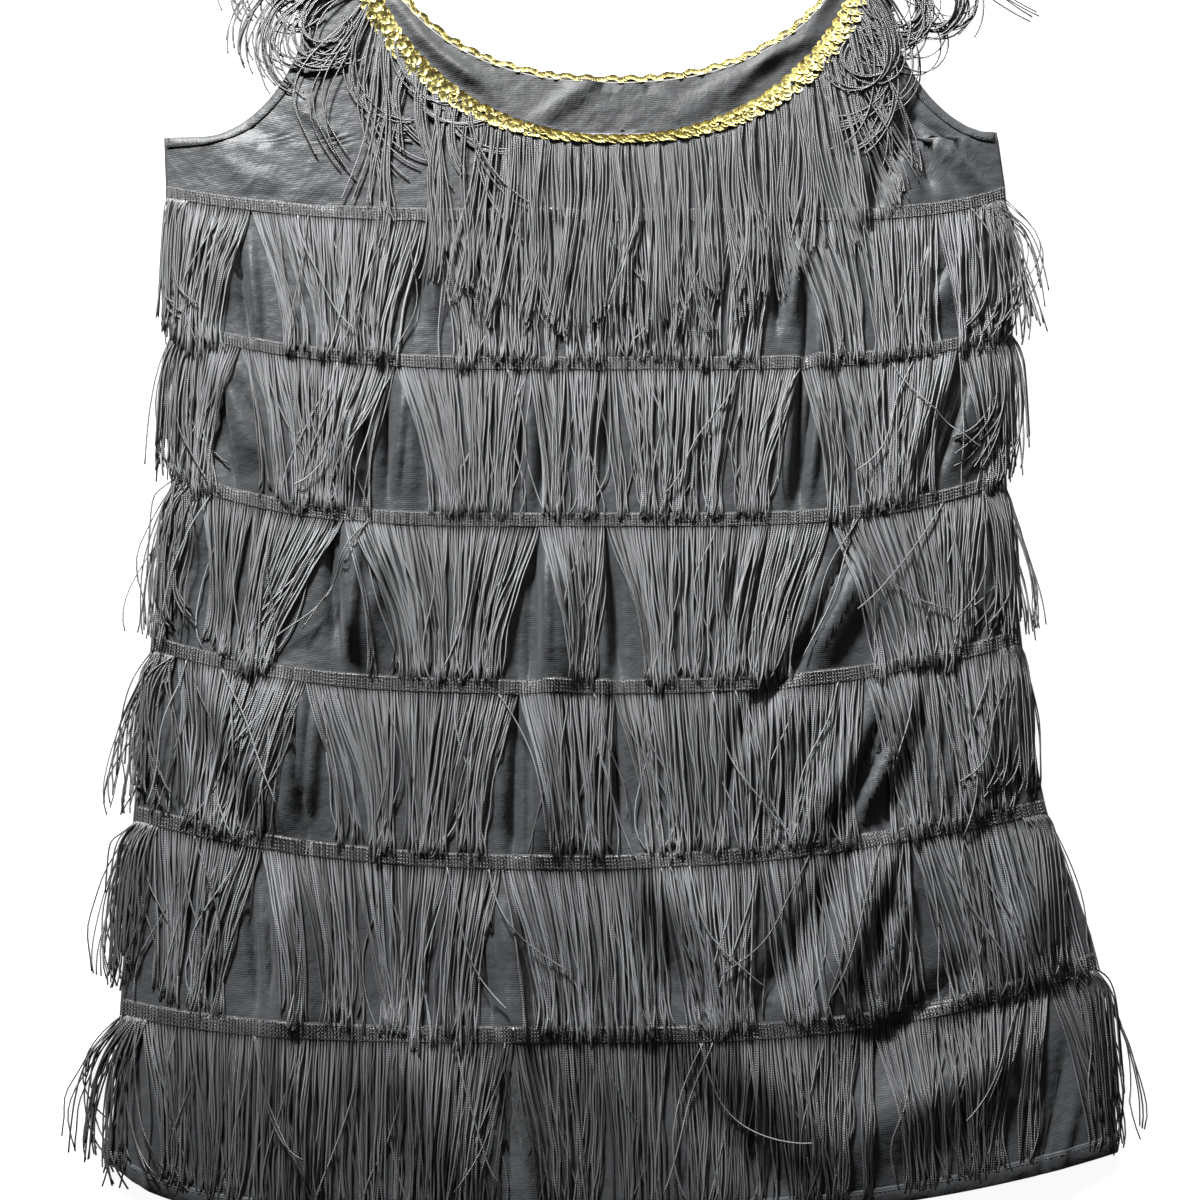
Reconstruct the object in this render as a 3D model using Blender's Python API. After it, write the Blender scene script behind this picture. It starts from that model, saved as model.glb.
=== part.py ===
"""Flapper dress laid flat with its front up: two knit panels on each other, fringe tapes and trim.

Metres, +Z up. The back panel's underside lies on z = 0, the hem points to -Y and the shoulders to +Y.
"""

import math
from collections import namedtuple

import bmesh
import bpy
from mathutils import Vector
from mathutils.bvhtree import BVHTree

MM = 0.001
COLLECTION = "flapper_dress"

# Cloth and seams
CLOTH = 1.5 * MM
SEAM_GAP = 0.3 * MM
LOFT = 6.0 * MM
LOWEST = 0.4 * MM
EDGE_POWER = 8

# Points on the curved edges
ARMHOLE_STEPS = 12
STRAP_STEPS = 5
NECK_STEPS = 120

# Fringe tapes
LOCKS_PER_ROW = 25
GAP_TO_LOCK = 0.58
TAPE_SHARE = 0.08
TAPE_THICK = 1.0 * MM
NECK_TAPE_WIDTH = 8.0 * MM
NECK_TAPE_INSET = 1.0 * MM
NECK_LOCKS = 45
FRINGE_LENGTH = 93.0 * MM
HEM_MARGIN = 3.0 * MM
NECK_FRINGE_LENGTH = 106.0 * MM
SHOULDER_FRINGE_LENGTH = 114.0 * MM
STRAP_START = 380.0 * MM
STRAP_BLEND = 18.0 * MM
HANG_SPREAD = 0.12
STRAP_TURN = 0.8
NECK_TAPE_ENDS = 0.012
FRAME_STEP = 0.002
FALL_SLOPES = (-1.15, -0.3)
ROOT_CLEARANCE = 0.2 * MM
LOCK_CLEARANCE = 0.8 * MM
FLOOR_CLEARANCE = 0.8 * MM

# Gold trim
TRIM_THICK = 1.2 * MM
TRIM_WIDTH = 11.5 * MM
TRIM_OVERHANG = 0.6 * MM
TRIM_ENDS = 0.006
TRIM_CELLS = 64
BACK_TRIM_WIDTH = 5.5 * MM
BACK_TRIM_GAP = 0.4 * MM
BACK_TRIM_PIECES = 2
BACK_TRIM_LIFT = 0.35 * MM

# Lengthwise sections of both panels, in millimetres, from the first fringe row down to the hem
Section = namedtuple("Section", "y left right rise_left rise_right bend_left bend_right")
SECTIONS = (
    Section(243, -268, 250, 18, 18, 4.0, 7.0),
    Section(147, -261, 250, 26, 26, 3.2, 4.5),
    Section(50, -254, 241, 31, 29, 4.0, 4.0),
    Section(-49, -260, 244, 27, 31, 3.2, 2.8),
    Section(-149, -264, 252, 29, 32, 2.5, 1.9),
    Section(-242, -265, 275, 15, 40, 4.0, 2.6),
    Section(-343, -265, 281, 29, 35, 7.0, 2.2),
)
ROWS = len(SECTIONS) - 1
STEPS_IN_ROW = (0.0, TAPE_SHARE, 0.38, 0.69)

# Armholes, in millimetres: a flat underarm, an oval bend and a strap edge that flares to the shoulder
Armhole = namedtuple("Armhole", "corner_x corner_y pit_x turn_x turn_y bend shoulder_x")
LEFT_ARMHOLE = Armhole(-271, 294, -250, -185, 385, 1.85, -201)
RIGHT_ARMHOLE = Armhole(247, 298, 240, 184, 378, 1.6, 219)
SHOULDER_Y = 484 * MM
FLARE_POWER = 1.7

# Necklines are the lower half of an oval hung from the shoulder seams
Neckline = namedtuple("Neckline", "x y half_width depth roundness")
FRONT_NECK = Neckline(9 * MM, 492 * MM, 166 * MM, 196 * MM, 2.25)
BACK_NECK = Neckline(9 * MM, 492 * MM, 163 * MM, 159 * MM, 2.3)

# Rows of the shoulder part: place on the armhole side and on the neckline side, each 0 at its start
YokeRow = namedtuple("YokeRow", "arm neck")
YOKE_ROWS = (
    YokeRow(-0.5, -0.6),
    YokeRow(0.0, -0.25),
    YokeRow(0.13, 0.0),
    YokeRow(0.20, 0.09),
    YokeRow(0.27, 0.18),
    YokeRow(0.35, 0.27),
    YokeRow(0.43, 0.36),
    YokeRow(0.51, 0.45),
    YokeRow(0.59, 0.54),
    YokeRow(0.68, 0.64),
    YokeRow(0.78, 0.76),
    YokeRow(0.89, 0.88),
    YokeRow(1.0, 1.0),
)
NECK_START_ROW = 3

# Largest folds, in millimetres: turn is the angle from the length of the dress, in degrees
Fold = namedtuple("Fold", "x y length width turn height")
FOLDS = (
    Fold(-250, -290, 110, 16, 6, 9),
    Fold(-168, -281, 100, 14, 11, 8),
    Fold(-90, -289, 100, 18, 27, 8),
    Fold(-39, -290, 110, 14, 11, 10),
    Fold(66, -291, 120, 15, 45, -5),
    Fold(92, -276, 130, 20, 45, 8),
    Fold(201, -246, 110, 14, -65, -5),
    Fold(188, -272, 120, 18, -62, 9),
    Fold(-192, -187, 90, 12, 9, -5),
    Fold(-174, -203, 80, 13, 6, 10),
    Fold(-48, -214, 80, 12, 10, 9),
    Fold(26, -196, 110, 13, 35, -5),
    Fold(52, -190, 110, 18, 33, 9),
    Fold(121, -181, 100, 13, -25, -5),
    Fold(145, -185, 100, 17, -25, 9),
    Fold(240, -180, 70, 14, -24, 8),
    Fold(124, -97, 120, 13, -35, -5),
    Fold(147, -88, 110, 17, -33, 9),
    Fold(-178, -88, 80, 14, 2, 8),
    Fold(-50, -106, 90, 12, -1, -5),
    Fold(-32, -104, 90, 12, 0, 9),
    Fold(218, -88, 80, 14, -24, 8),
    Fold(-224, 5, 60, 12, 18, -5),
    Fold(-139, 4, 80, 13, 4, 8),
    Fold(-44, -11, 85, 12, -1, -5),
    Fold(-26, -14, 85, 12, 0, 10),
    Fold(130, -12, 60, 13, -33, 6),
    Fold(-236, 110, 90, 12, 16, -5),
    Fold(-216, 116, 70, 13, 22, 8),
    Fold(-143, 92, 60, 12, 5, 6),
    Fold(195, 104, 80, 15, -25, 8),
    Fold(-236, 208, 50, 13, 27, 6),
    Fold(216, 205, 60, 13, -31, 8),
    Fold(214, 288, 60, 12, 33, 4),
)

# Partings of the fringe, in millimetres: the locks on both sides lean away from x by up to spread
Parting = namedtuple("Parting", "row x spread reach")
PARTINGS = (
    Parting(1, -213, 14, 35),
    Parting(1, -105, 12, 30),
    Parting(1, 113, 14, 35),
    Parting(2, -215, 12, 35),
    Parting(2, -122, 13, 35),
    Parting(2, -42, 8, 25),
    Parting(2, 120, 12, 35),
    Parting(3, -150, 18, 40),
    Parting(3, -35, 14, 35),
    Parting(3, 3, 8, 22),
    Parting(3, 135, 16, 40),
    Parting(4, -168, 16, 40),
    Parting(4, -46, 14, 35),
    Parting(4, 8, 8, 25),
    Parting(4, 152, 14, 35),
    Parting(5, -190, 15, 40),
    Parting(5, -55, 11, 35),
    Parting(5, 155, 13, 35),
    Parting(6, -238, 10, 30),
    Parting(6, -47, 14, 35),
    Parting(6, 238, 14, 35),
)

# How far the outermost locks of each row reach past the side seams, in millimetres
SideReach = namedtuple("SideReach", "left right")
SIDE_REACH = (
    SideReach(8, 44),
    SideReach(14, 10),
    SideReach(14, 10),
    SideReach(17, 9),
    SideReach(18, 6),
    SideReach(30, 12),
)

LOCK_STEPS = (0.34, 0.68, 1.0)
LOCK_WIDTHS = (0.82, 0.62, 0.3)
LOCK_THICK = (1.7 * MM, 1.5 * MM, 0.8 * MM)
NECK_LOCK_WIDTHS = (0.95, 0.8, 0.4)
SHOULDER_LOCK_WIDTHS = (0.6, 0.45, 0.3)
LEAN_SWING = 1.25
SIDE_SWING = 0.8
DRIFT_SHARE = 0.5
CAST_FROM = 0.2
LEAST_LEVER = 0.3
ROOT_RISE = 1.6
LOCK_SAMPLES = [(along / 12, across / 4) for along in range(1, 13) for across in range(5)]
STRIP_SAMPLES = [(across / 6, along / 4) for across in range(7) for along in range(5)]


def clear_scene():
    for old in list(bpy.data.objects):
        bpy.data.objects.remove(old, do_unlink=True)
    collection = bpy.data.collections.new(COLLECTION)
    bpy.context.scene.collection.children.link(collection)
    return collection


def make_material(name, colour, roughness, metallic=0.0):
    material = bpy.data.materials.new(name)
    material.use_nodes = True
    shader = material.node_tree.nodes["Principled BSDF"]
    shader.inputs["Base Color"].default_value = (*colour, 1.0)
    shader.inputs["Roughness"].default_value = roughness
    shader.inputs["Metallic"].default_value = metallic
    return material


def add_object(collection, name, bm, material):
    bmesh.ops.recalc_face_normals(bm, faces=bm.faces[:])
    mesh = bpy.data.meshes.new(name)
    bm.to_mesh(mesh)
    mesh.materials.append(material)
    piece = bpy.data.objects.new(name, mesh)
    collection.objects.link(piece)
    return piece


def lerp(a, b, share):
    return a + (b - a) * share


def smooth_value(values, place):
    """Catmull-Rom curve through values, read at a place counted in steps from the first one."""
    last = len(values) - 1
    start = min(max(int(math.floor(place)), 0), last - 1)
    t = place - start
    before = values[max(start - 1, 0)]
    first = values[start]
    second = values[start + 1]
    after = values[min(start + 2, last)]
    slope_in = (second - before) / 2
    slope_out = (after - first) / 2
    return (
        (2 * t**3 - 3 * t**2 + 1) * first
        + (t**3 - 2 * t**2 + t) * slope_in
        + (3 * t**2 - 2 * t**3) * second
        + (t**3 - t**2) * slope_out
    )


def along_path(points, share):
    """Point at a share of a polyline's length."""
    lengths = [(b - a).length for a, b in zip(points, points[1:])]
    wanted = share * sum(lengths)
    for start, end, length in zip(points, points[1:], lengths):
        if wanted <= length:
            return start.lerp(end, wanted / length)
        wanted -= length
    return points[-1].copy()


def body_point(row, across):
    """Plan point of the dress body: row counts from the first fringe row, across runs from -1 to 1."""
    place = row - 1
    left = smooth_value([s.left for s in SECTIONS], place)
    right = smooth_value([s.right for s in SECTIONS], place)
    y = smooth_value([s.y for s in SECTIONS], place)
    side = "left" if across < 0 else "right"
    rise = smooth_value([getattr(s, "rise_" + side) for s in SECTIONS], place)
    bend = smooth_value([getattr(s, "bend_" + side) for s in SECTIONS], place)
    x = lerp(left, right, (across + 1) / 2)
    return Vector((x, y + rise * abs(across) ** bend)) * MM


def armhole_path(armhole):
    """Underarm corner, flat pit, oval bend and flared strap edge, up to the shoulder seam."""
    points = [Vector((armhole.corner_x, armhole.corner_y)) * MM]
    half_width = armhole.turn_x - armhole.pit_x
    height = armhole.turn_y - armhole.corner_y
    for step in range(ARMHOLE_STEPS + 1):
        angle = math.pi / 2 * step / ARMHOLE_STEPS
        x = armhole.pit_x + half_width * math.sin(angle) ** (2 / armhole.bend)
        y = armhole.turn_y - height * math.cos(angle) ** (2 / armhole.bend)
        points.append(Vector((x, y)) * MM)
    for step in range(1, STRAP_STEPS + 1):
        share = step / STRAP_STEPS
        x = armhole.turn_x + (armhole.shoulder_x - armhole.turn_x) * share**FLARE_POWER
        points.append(Vector((x * MM, lerp(armhole.turn_y * MM, SHOULDER_Y, share))))
    return points


def neck_half_path(neck, side, half_gap=0.0):
    """One half of a neckline, from beside its lowest point up to the shoulder."""
    points = []
    for step in range(NECK_STEPS + 1):
        angle = math.pi / 2 * step / NECK_STEPS
        x = neck.half_width * math.sin(angle) ** (2 / neck.roundness)
        y = neck.y - neck.depth * math.cos(angle) ** (2 / neck.roundness)
        if x >= half_gap:
            points.append(Vector((neck.x + side * x, y)))
    return points


def column_places():
    """Columns of a panel from -1 to 1: a wide cell under each lock and a narrow one between two."""
    lock = 2 / (LOCKS_PER_ROW + (LOCKS_PER_ROW - 1) * GAP_TO_LOCK)
    places = [-1.0]
    for cell in range(2 * LOCKS_PER_ROW - 1):
        places.append(places[-1] + lock * (GAP_TO_LOCK if cell % 2 else 1.0))
    return places


def row_places():
    """Rows of the body from the hem up to the first fringe row."""
    places = [ROWS + 1.0]
    for row in range(ROWS, 0, -1):
        places.extend(row + step for step in reversed(STEPS_IN_ROW))
    return places


COLUMNS = column_places()
BODY_ROWS = row_places()
CENTRE = LOCKS_PER_ROW - 1


def arm_point(armhole, place, path):
    if place >= 0:
        return along_path(path, place)
    corner = Vector((armhole.corner_x, armhole.corner_y)) * MM
    return corner.lerp(body_point(1, math.copysign(1, armhole.corner_x)), -place)


def yoke_table(neck):
    """Plan points of the shoulder part, row by row, for all columns."""
    half_gap = -COLUMNS[CENTRE] * (SECTIONS[0].right - SECTIONS[0].left) / 2 * MM
    table = []
    for number, row in enumerate(YOKE_ROWS):
        line = [None] * len(COLUMNS)
        fade = max(0.0, 1 - (number + 1) / (NECK_START_ROW + 1))
        for side, armhole in ((-1, LEFT_ARMHOLE), (1, RIGHT_ARMHOLE)):
            first = 0 if side < 0 else len(COLUMNS) - 1
            inner = CENTRE if side < 0 else CENTRE + 1
            neck_path = neck_half_path(neck, side, half_gap)
            outer_point = arm_point(armhole, row.arm, armhole_path(armhole))
            base_inner = body_point(1, COLUMNS[inner])
            base_outer = body_point(1, COLUMNS[first])
            if row.neck >= 0:
                inner_point = along_path(neck_path, row.neck)
            else:
                inner_point = neck_path[0].lerp(base_inner, -row.neck)
            for column in range(min(first, inner), max(first, inner) + 1):
                share = (COLUMNS[column] - COLUMNS[first]) / (COLUMNS[inner] - COLUMNS[first])
                bend = body_point(1, COLUMNS[column]) - base_outer.lerp(base_inner, share)
                line[column] = outer_point.lerp(inner_point, share) + bend * fade
        table.append(line)
    return table


def fold_height(x, y):
    """Sum of the folds at a plan point."""
    total = 0.0
    for fold in FOLDS:
        turn = math.radians(fold.turn)
        dx = x / MM - fold.x
        dy = y / MM - fold.y
        across = dx * math.cos(turn) + dy * math.sin(turn)
        along = dx * math.sin(turn) - dy * math.cos(turn)
        shape = math.exp(-((across / fold.width) ** 2) - (2 * along / fold.length) ** 4)
        total += fold.height * MM * shape
    return total


def front_height(point, across, shoulder):
    """Underside of the front panel: closed at the side seams and at the shoulders, lofted between."""
    loft = LOFT + fold_height(point.x, point.y)
    held = (1 - abs(across) ** EDGE_POWER) * (1 - shoulder**3)
    return CLOTH + SEAM_GAP + max(loft, LOWEST) * held


def panel_points(neck, is_front):
    """Rows of underside points of a panel, from the hem up to the shoulder seams."""
    plan = [[body_point(row, across) for across in COLUMNS] for row in BODY_ROWS]
    plan.extend(yoke_table(neck))
    table = []
    for number, line in enumerate(plan):
        yoke_row = number - len(BODY_ROWS)
        shoulder = max(0.0, YOKE_ROWS[yoke_row].neck) if yoke_row >= 0 else 0.0
        heights = [0.0] * len(COLUMNS)
        if is_front:
            heights = [front_height(p, across, shoulder) for p, across in zip(line, COLUMNS)]
        table.append([Vector((p.x, p.y, z)) for p, z in zip(line, heights)])
    return table


def sheet_mesh(table):
    """Grid with its vertices moved to the points of a table."""
    bm = bmesh.new()
    rows = len(table) - 1
    columns = len(table[0]) - 1
    bmesh.ops.create_grid(bm, x_segments=columns, y_segments=rows, size=1.0)
    for vert in bm.verts:
        column = round((vert.co.x + 1) / 2 * columns)
        row = round((vert.co.y + 1) / 2 * rows)
        vert.co = table[row][column]
        vert.tag = column in (CENTRE, CENTRE + 1) and row >= len(BODY_ROWS) + NECK_START_ROW - 1
    return bm


def open_neck(bm):
    """Takes away the cells between the two shoulder parts."""
    between = [face for face in bm.faces if all(vert.tag for vert in face.verts)]
    bmesh.ops.delete(bm, geom=between, context="FACES")


def thicken(bm, height):
    """Closes an open sheet into a wall by raising a copy of it."""
    raised = bmesh.ops.extrude_face_region(bm, geom=bm.faces[:])["geom"]
    upper = [item for item in raised if isinstance(item, bmesh.types.BMVert)]
    bmesh.ops.translate(bm, verts=upper, vec=(0, 0, height))
    bmesh.ops.recalc_face_normals(bm, faces=bm.faces[:])


def make_panel(table):
    bm = sheet_mesh(table)
    open_neck(bm)
    thicken(bm, CLOTH)
    return bm


class Pile:
    """What already lies on the floor, so that the next piece can be laid on top of it."""

    def __init__(self):
        self.layers = []

    def add(self, bm):
        self.layers.append(BVHTree.FromBMesh(bm))

    def height(self, x, y):
        """Height of the topmost surface at a plan point, or None over the bare floor."""
        top = None
        for layer in self.layers:
            hit = layer.ray_cast(Vector((x, y, CAST_FROM)), Vector((0, 0, -1)))[0]
            if hit is not None and (top is None or hit.z > top):
                top = hit.z
        return top

    def resting(self, x, y, clearance):
        top = self.height(x, y)
        return FLOOR_CLEARANCE if top is None else top + clearance


def side_face(bm, start, end):
    """The side face of a tape whose lower edge runs between two plan points."""
    middle = (start + end) / 2
    best = None
    for face in bm.faces:
        centre = face.calc_center_median()
        distance = (Vector((centre.x, centre.y)) - middle).length
        if abs(face.normal.z) < 0.5 and (best is None or distance < best[0]):
            best = (distance, face)
    return best[1]


def lock_rings(root, path, widths):
    """Left and right plan points of each ring of a lock after its root."""
    rings = []
    for step, width in enumerate(widths):
        behind = root if step == 0 else path[step - 1]
        ahead = path[min(step + 1, len(path) - 1)]
        sideways = Vector((behind.y - ahead.y, ahead.x - behind.x)).normalized()
        rings.append((path[step] + sideways * width / 2, path[step] - sideways * width / 2))
    return rings


def rest_lock(rails, root_heights, pile):
    """Heights of the rings' left and right ends at which a lock clears everything below it."""
    heights = [list(root_heights)]
    for ends in rails[1:]:
        heights.append([pile.resting(spot.x, spot.y, LOCK_CLEARANCE) for spot in ends])
    for number in range(len(rails) - 1):
        for along, across in LOCK_SAMPLES:
            start = rails[number][0].lerp(rails[number][1], across)
            end = rails[number + 1][0].lerp(rails[number + 1][1], across)
            spot = start.lerp(end, along)
            freed = min(1.0, along * ROOT_RISE) if number == 0 else 1.0
            clearance = lerp(ROOT_CLEARANCE, LOCK_CLEARANCE, freed)
            low = lerp(heights[number][0], heights[number][1], across)
            high = lerp(heights[number + 1][0], heights[number + 1][1], across)
            lack = pile.resting(spot.x, spot.y, clearance) - lerp(low, high, along)
            if lack <= 0:
                continue
            spread = along**2 + (1 - along) ** 2
            for side in (0, 1):
                if number == 0:
                    heights[1][side] += lack / max(along, LEAST_LEVER)
                else:
                    heights[number][side] += lack * (1 - along) / spread
                    heights[number + 1][side] += lack * along / spread
    return heights[1:]


def grow_lock(bm, face, path, widths, pile):
    """Draws one lock out of a side face of its tape, along a plan path."""
    rings = lock_rings(face.calc_center_median().xy, path, widths)
    sideways = rings[0][0] - rings[0][1]
    corners = sorted(face.verts, key=lambda vert: -vert.co.xy.dot(sideways))
    feet = [min(pair, key=lambda vert: vert.co.z).co for pair in (corners[:2], corners[2:])]
    rails = [[foot.xy for foot in feet]] + [list(ring) for ring in rings]
    heights = rest_lock(rails, [foot.z for foot in feet], pile)
    for ring, bottoms, thick in zip(rings, heights, LOCK_THICK):
        face = bmesh.ops.extrude_discrete_faces(bm, faces=[face])["faces"][0]
        corners = sorted(face.verts, key=lambda vert: -vert.co.xy.dot(sideways))
        for pair, spot, bottom in zip((corners[:2], corners[2:]), ring, bottoms):
            lower, upper = sorted(pair, key=lambda vert: vert.co.z)
            lower.co = (spot.x, spot.y, bottom)
            upper.co = (spot.x, spot.y, bottom + thick)
        sideways = ring[0] - ring[1]


def lean(row, x):
    """Sideways shift of a lock's tip, away from the partings of its row."""
    shift = 0.0
    for parting in PARTINGS:
        if parting.row == row:
            distance = x / MM - parting.x
            push = parting.spread * math.exp(-((distance / parting.reach) ** 2))
            shift += math.copysign(push, distance) if distance else push
    return shift * MM


def row_path(row, column, root):
    """Plan path of a lock of a fringe row; the outermost ones swing past the side seams."""
    last = len(COLUMNS) - 2
    reach = SIDE_REACH[row - 1]
    shift = lean(row, root.x)
    swing = LEAN_SWING
    if column in (0, last):
        shift = -reach.left * MM if column == 0 else reach.right * MM
        swing = SIDE_SWING
    below = body_point(row + 1, (COLUMNS[column] + COLUMNS[column + 1]) / 2)
    drift = below.x - root.x
    length = min(FRINGE_LENGTH, root.y - below.y - HEM_MARGIN) if row == ROWS else FRINGE_LENGTH
    path = []
    for share in LOCK_STEPS:
        x = root.x + drift * share * DRIFT_SHARE + shift * share**swing
        path.append(Vector((x, root.y - length * share)))
    return path


def make_row(row, panel, pile):
    """A fringe tape across the front, moved out from the panel's points, with its locks."""
    upper = panel[BODY_ROWS.index(row)]
    lower = panel[BODY_ROWS.index(row + TAPE_SHARE)]
    lift = Vector((0, 0, CLOTH + SEAM_GAP))
    table = [[point + lift for point in line] for line in (lower, upper)]
    bm = sheet_mesh(table)
    thicken(bm, TAPE_THICK)
    lock_faces = []
    for column in range(0, len(COLUMNS) - 1, 2):
        start, end = (Vector((p.x, p.y)) for p in (lower[column], lower[column + 1]))
        lock_faces.append((column, side_face(bm, start, end)))
    for column, face in lock_faces:
        root = face.calc_center_median()
        cell = (lower[column + 1] - lower[column]).length
        widths = [cell * share for share in LOCK_WIDTHS]
        path = row_path(row, column, root)
        grow_lock(bm, face, path, widths, pile)
    return bm


def path_shares(path, pieces):
    """Shares of a path's length at its points, each stretch cut into equal pieces."""
    lengths = [(b - a).length for a, b in zip(path, path[1:])]
    shares = [0.0]
    for length in lengths:
        for _ in range(pieces):
            shares.append(shares[-1] + length / pieces / sum(lengths))
    shares[-1] = 1.0
    return shares


def neck_edge(panel):
    """Plan points of a panel's neckline, from the left shoulder down and up to the right one."""
    rows = panel[len(BODY_ROWS) + NECK_START_ROW - 1 :]
    left = [line[CENTRE].xy for line in rows]
    right = [line[CENTRE + 1].xy for line in rows]
    return list(reversed(left)) + right


def neck_frame(path, share):
    """Point on a neckline and the direction that points out of the opening there."""
    here = along_path(path, share)
    before = along_path(path, max(0.0, share - FRAME_STEP))
    after = along_path(path, min(1.0, share + FRAME_STEP))
    run = (after - before).normalized()
    return here, Vector((run.y, -run.x))


def neck_strip(path, shares, inner, outer, height):
    """Rows of points of a strip along a neckline, at two distances out of the opening."""
    lines = []
    for share in shares:
        here, out = neck_frame(path, share)
        lines.append((here + out * inner, here + out * outer))
    table = [[], []]
    for number, line in enumerate(lines):
        before = lines[max(0, number - 1)]
        after = lines[min(len(lines) - 1, number + 1)]
        z = height(before, line, after)
        table[0].append(Vector((*line[1], z)))
        table[1].append(Vector((*line[0], z)))
    return table


def over(pile, gap):
    """Height rule for a strip that clears what lies below it around each of its lines."""

    def height(before, line, after):
        top = 0.0
        for other in (before, line, after):
            for across, along in STRIP_SAMPLES:
                spot = line[0].lerp(line[1], across)
                far = other[0].lerp(other[1], across)
                top = max(top, pile.height(*spot.lerp(far, along)) or 0.0)
        return top + gap

    return height


def neck_shares():
    lock = 1 / (NECK_LOCKS + (NECK_LOCKS - 1) * GAP_TO_LOCK)
    shares = [0.0]
    for cell in range(2 * NECK_LOCKS - 1):
        shares.append(shares[-1] + lock * (GAP_TO_LOCK if cell % 2 else 1.0))
    shares[-1] = 1.0
    return [lerp(NECK_TAPE_ENDS, 1 - NECK_TAPE_ENDS, share) for share in shares]


def neck_lock_path(root, out):
    """Locks below the neckline hang straight; those on the straps fall over the armholes."""
    side = math.copysign(1, out.x)
    strap = min(1.0, max(0.0, (root.y - STRAP_START) / STRAP_BLEND))
    up_strap = max(0.0, (root.y - STRAP_START) / (SHOULDER_Y - STRAP_START))
    hang = Vector((side * HANG_SPREAD * abs(out.x), -1.0)).normalized()
    fall = Vector((side, lerp(*FALL_SLOPES, up_strap))).normalized()
    length = lerp(NECK_FRINGE_LENGTH, SHOULDER_FRINGE_LENGTH, strap)
    path = []
    for share in LOCK_STEPS:
        turn = out.lerp(hang.lerp(fall, strap), min(1.0, 2 * share)).normalized()
        path.append(root.xy + turn * length * share)
    return path


def make_neck_fringe(path, pile):
    """The fringe tape under the gold trim of the front neckline."""
    shares = neck_shares()
    inner = NECK_TAPE_INSET
    outer = NECK_TAPE_INSET + NECK_TAPE_WIDTH
    table = neck_strip(path, shares, inner, outer, over(pile, SEAM_GAP))
    bm = sheet_mesh(table)
    thicken(bm, TAPE_THICK)
    locks = []
    for cell in range(0, len(shares) - 1, 2):
        start, end = (Vector((p.x, p.y)) for p in (table[0][cell], table[0][cell + 1]))
        out = neck_frame(path, (shares[cell] + shares[cell + 1]) / 2)[1]
        locks.append((side_face(bm, start, end), out, (end - start).length))
    for face, out, cell_width in locks:
        root = face.calc_center_median()
        on_strap = abs(out.x) > STRAP_TURN
        lock_widths = SHOULDER_LOCK_WIDTHS if on_strap else NECK_LOCK_WIDTHS
        facing = abs(out.x) if on_strap else abs(out.y)
        widths = [cell_width * facing * share for share in lock_widths]
        grow_lock(bm, face, neck_lock_path(root, out), widths, pile)
    return bm


def make_front_trim(path, pile):
    shares = [lerp(TRIM_ENDS, 1 - TRIM_ENDS, step / TRIM_CELLS) for step in range(TRIM_CELLS + 1)]
    outer = TRIM_WIDTH - TRIM_OVERHANG
    table = neck_strip(path, shares, -TRIM_OVERHANG, outer, over(pile, SEAM_GAP))
    bm = sheet_mesh(table)
    thicken(bm, TRIM_THICK)
    return bm


def make_back_trim(path):
    """The trim of the back neckline lies beside the cloth's edge, just above the floor."""
    shares = path_shares(path, BACK_TRIM_PIECES)
    outer = -BACK_TRIM_GAP
    table = neck_strip(path, shares, outer - BACK_TRIM_WIDTH, outer, lambda *lines: BACK_TRIM_LIFT)
    bm = sheet_mesh(table)
    thicken(bm, TRIM_THICK)
    return bm


def main():
    collection = clear_scene()
    knit = make_material("black_knit", (0.018, 0.018, 0.021), 0.42)
    yarn = make_material("black_fringe", (0.013, 0.013, 0.015), 0.5)
    gold = make_material("gold_sequins", (0.75, 0.55, 0.12), 0.25, 0.9)

    pile = Pile()
    back_points = panel_points(BACK_NECK, is_front=False)
    back = make_panel(back_points)
    pile.add(back)
    add_object(collection, "back_panel", back, knit)

    front_points = panel_points(FRONT_NECK, is_front=True)
    front = make_panel(front_points)
    pile.add(front)
    add_object(collection, "front_panel", front, knit)

    for row in range(ROWS, 0, -1):
        fringe = make_row(row, front_points, pile)
        pile.add(fringe)
        add_object(collection, f"fringe_row_{row}", fringe, yarn)

    neck_path = neck_edge(front_points)
    neck_fringe = make_neck_fringe(neck_path, pile)
    pile.add(neck_fringe)
    add_object(collection, "neck_fringe", neck_fringe, yarn)
    add_object(collection, "front_trim", make_front_trim(neck_path, pile), gold)
    add_object(collection, "back_trim", make_back_trim(neck_edge(back_points)), gold)


main()
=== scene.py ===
"""Looks of the flapper dress: knit panels, yarn fringe on woven tapes and sequin trims, on its solids."""

import math
from collections import namedtuple

import bmesh
import bpy
import numpy as np
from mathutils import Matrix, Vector
from mathutils.bvhtree import BVHTree


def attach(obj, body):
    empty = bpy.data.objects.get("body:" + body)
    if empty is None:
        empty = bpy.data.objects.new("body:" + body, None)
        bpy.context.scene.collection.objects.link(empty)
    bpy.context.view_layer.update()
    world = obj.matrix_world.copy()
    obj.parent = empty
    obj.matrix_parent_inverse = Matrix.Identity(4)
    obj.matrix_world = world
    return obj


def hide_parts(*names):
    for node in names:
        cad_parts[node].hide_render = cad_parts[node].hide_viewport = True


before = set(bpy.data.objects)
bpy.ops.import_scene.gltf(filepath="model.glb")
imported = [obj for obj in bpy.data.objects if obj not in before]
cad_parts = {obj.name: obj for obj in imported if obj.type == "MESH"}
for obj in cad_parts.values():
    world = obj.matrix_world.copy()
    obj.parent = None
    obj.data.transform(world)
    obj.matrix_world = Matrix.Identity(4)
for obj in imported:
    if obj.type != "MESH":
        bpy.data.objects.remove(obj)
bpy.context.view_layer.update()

MM = 0.001
BODY = "root"
SEED = 1926

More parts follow.
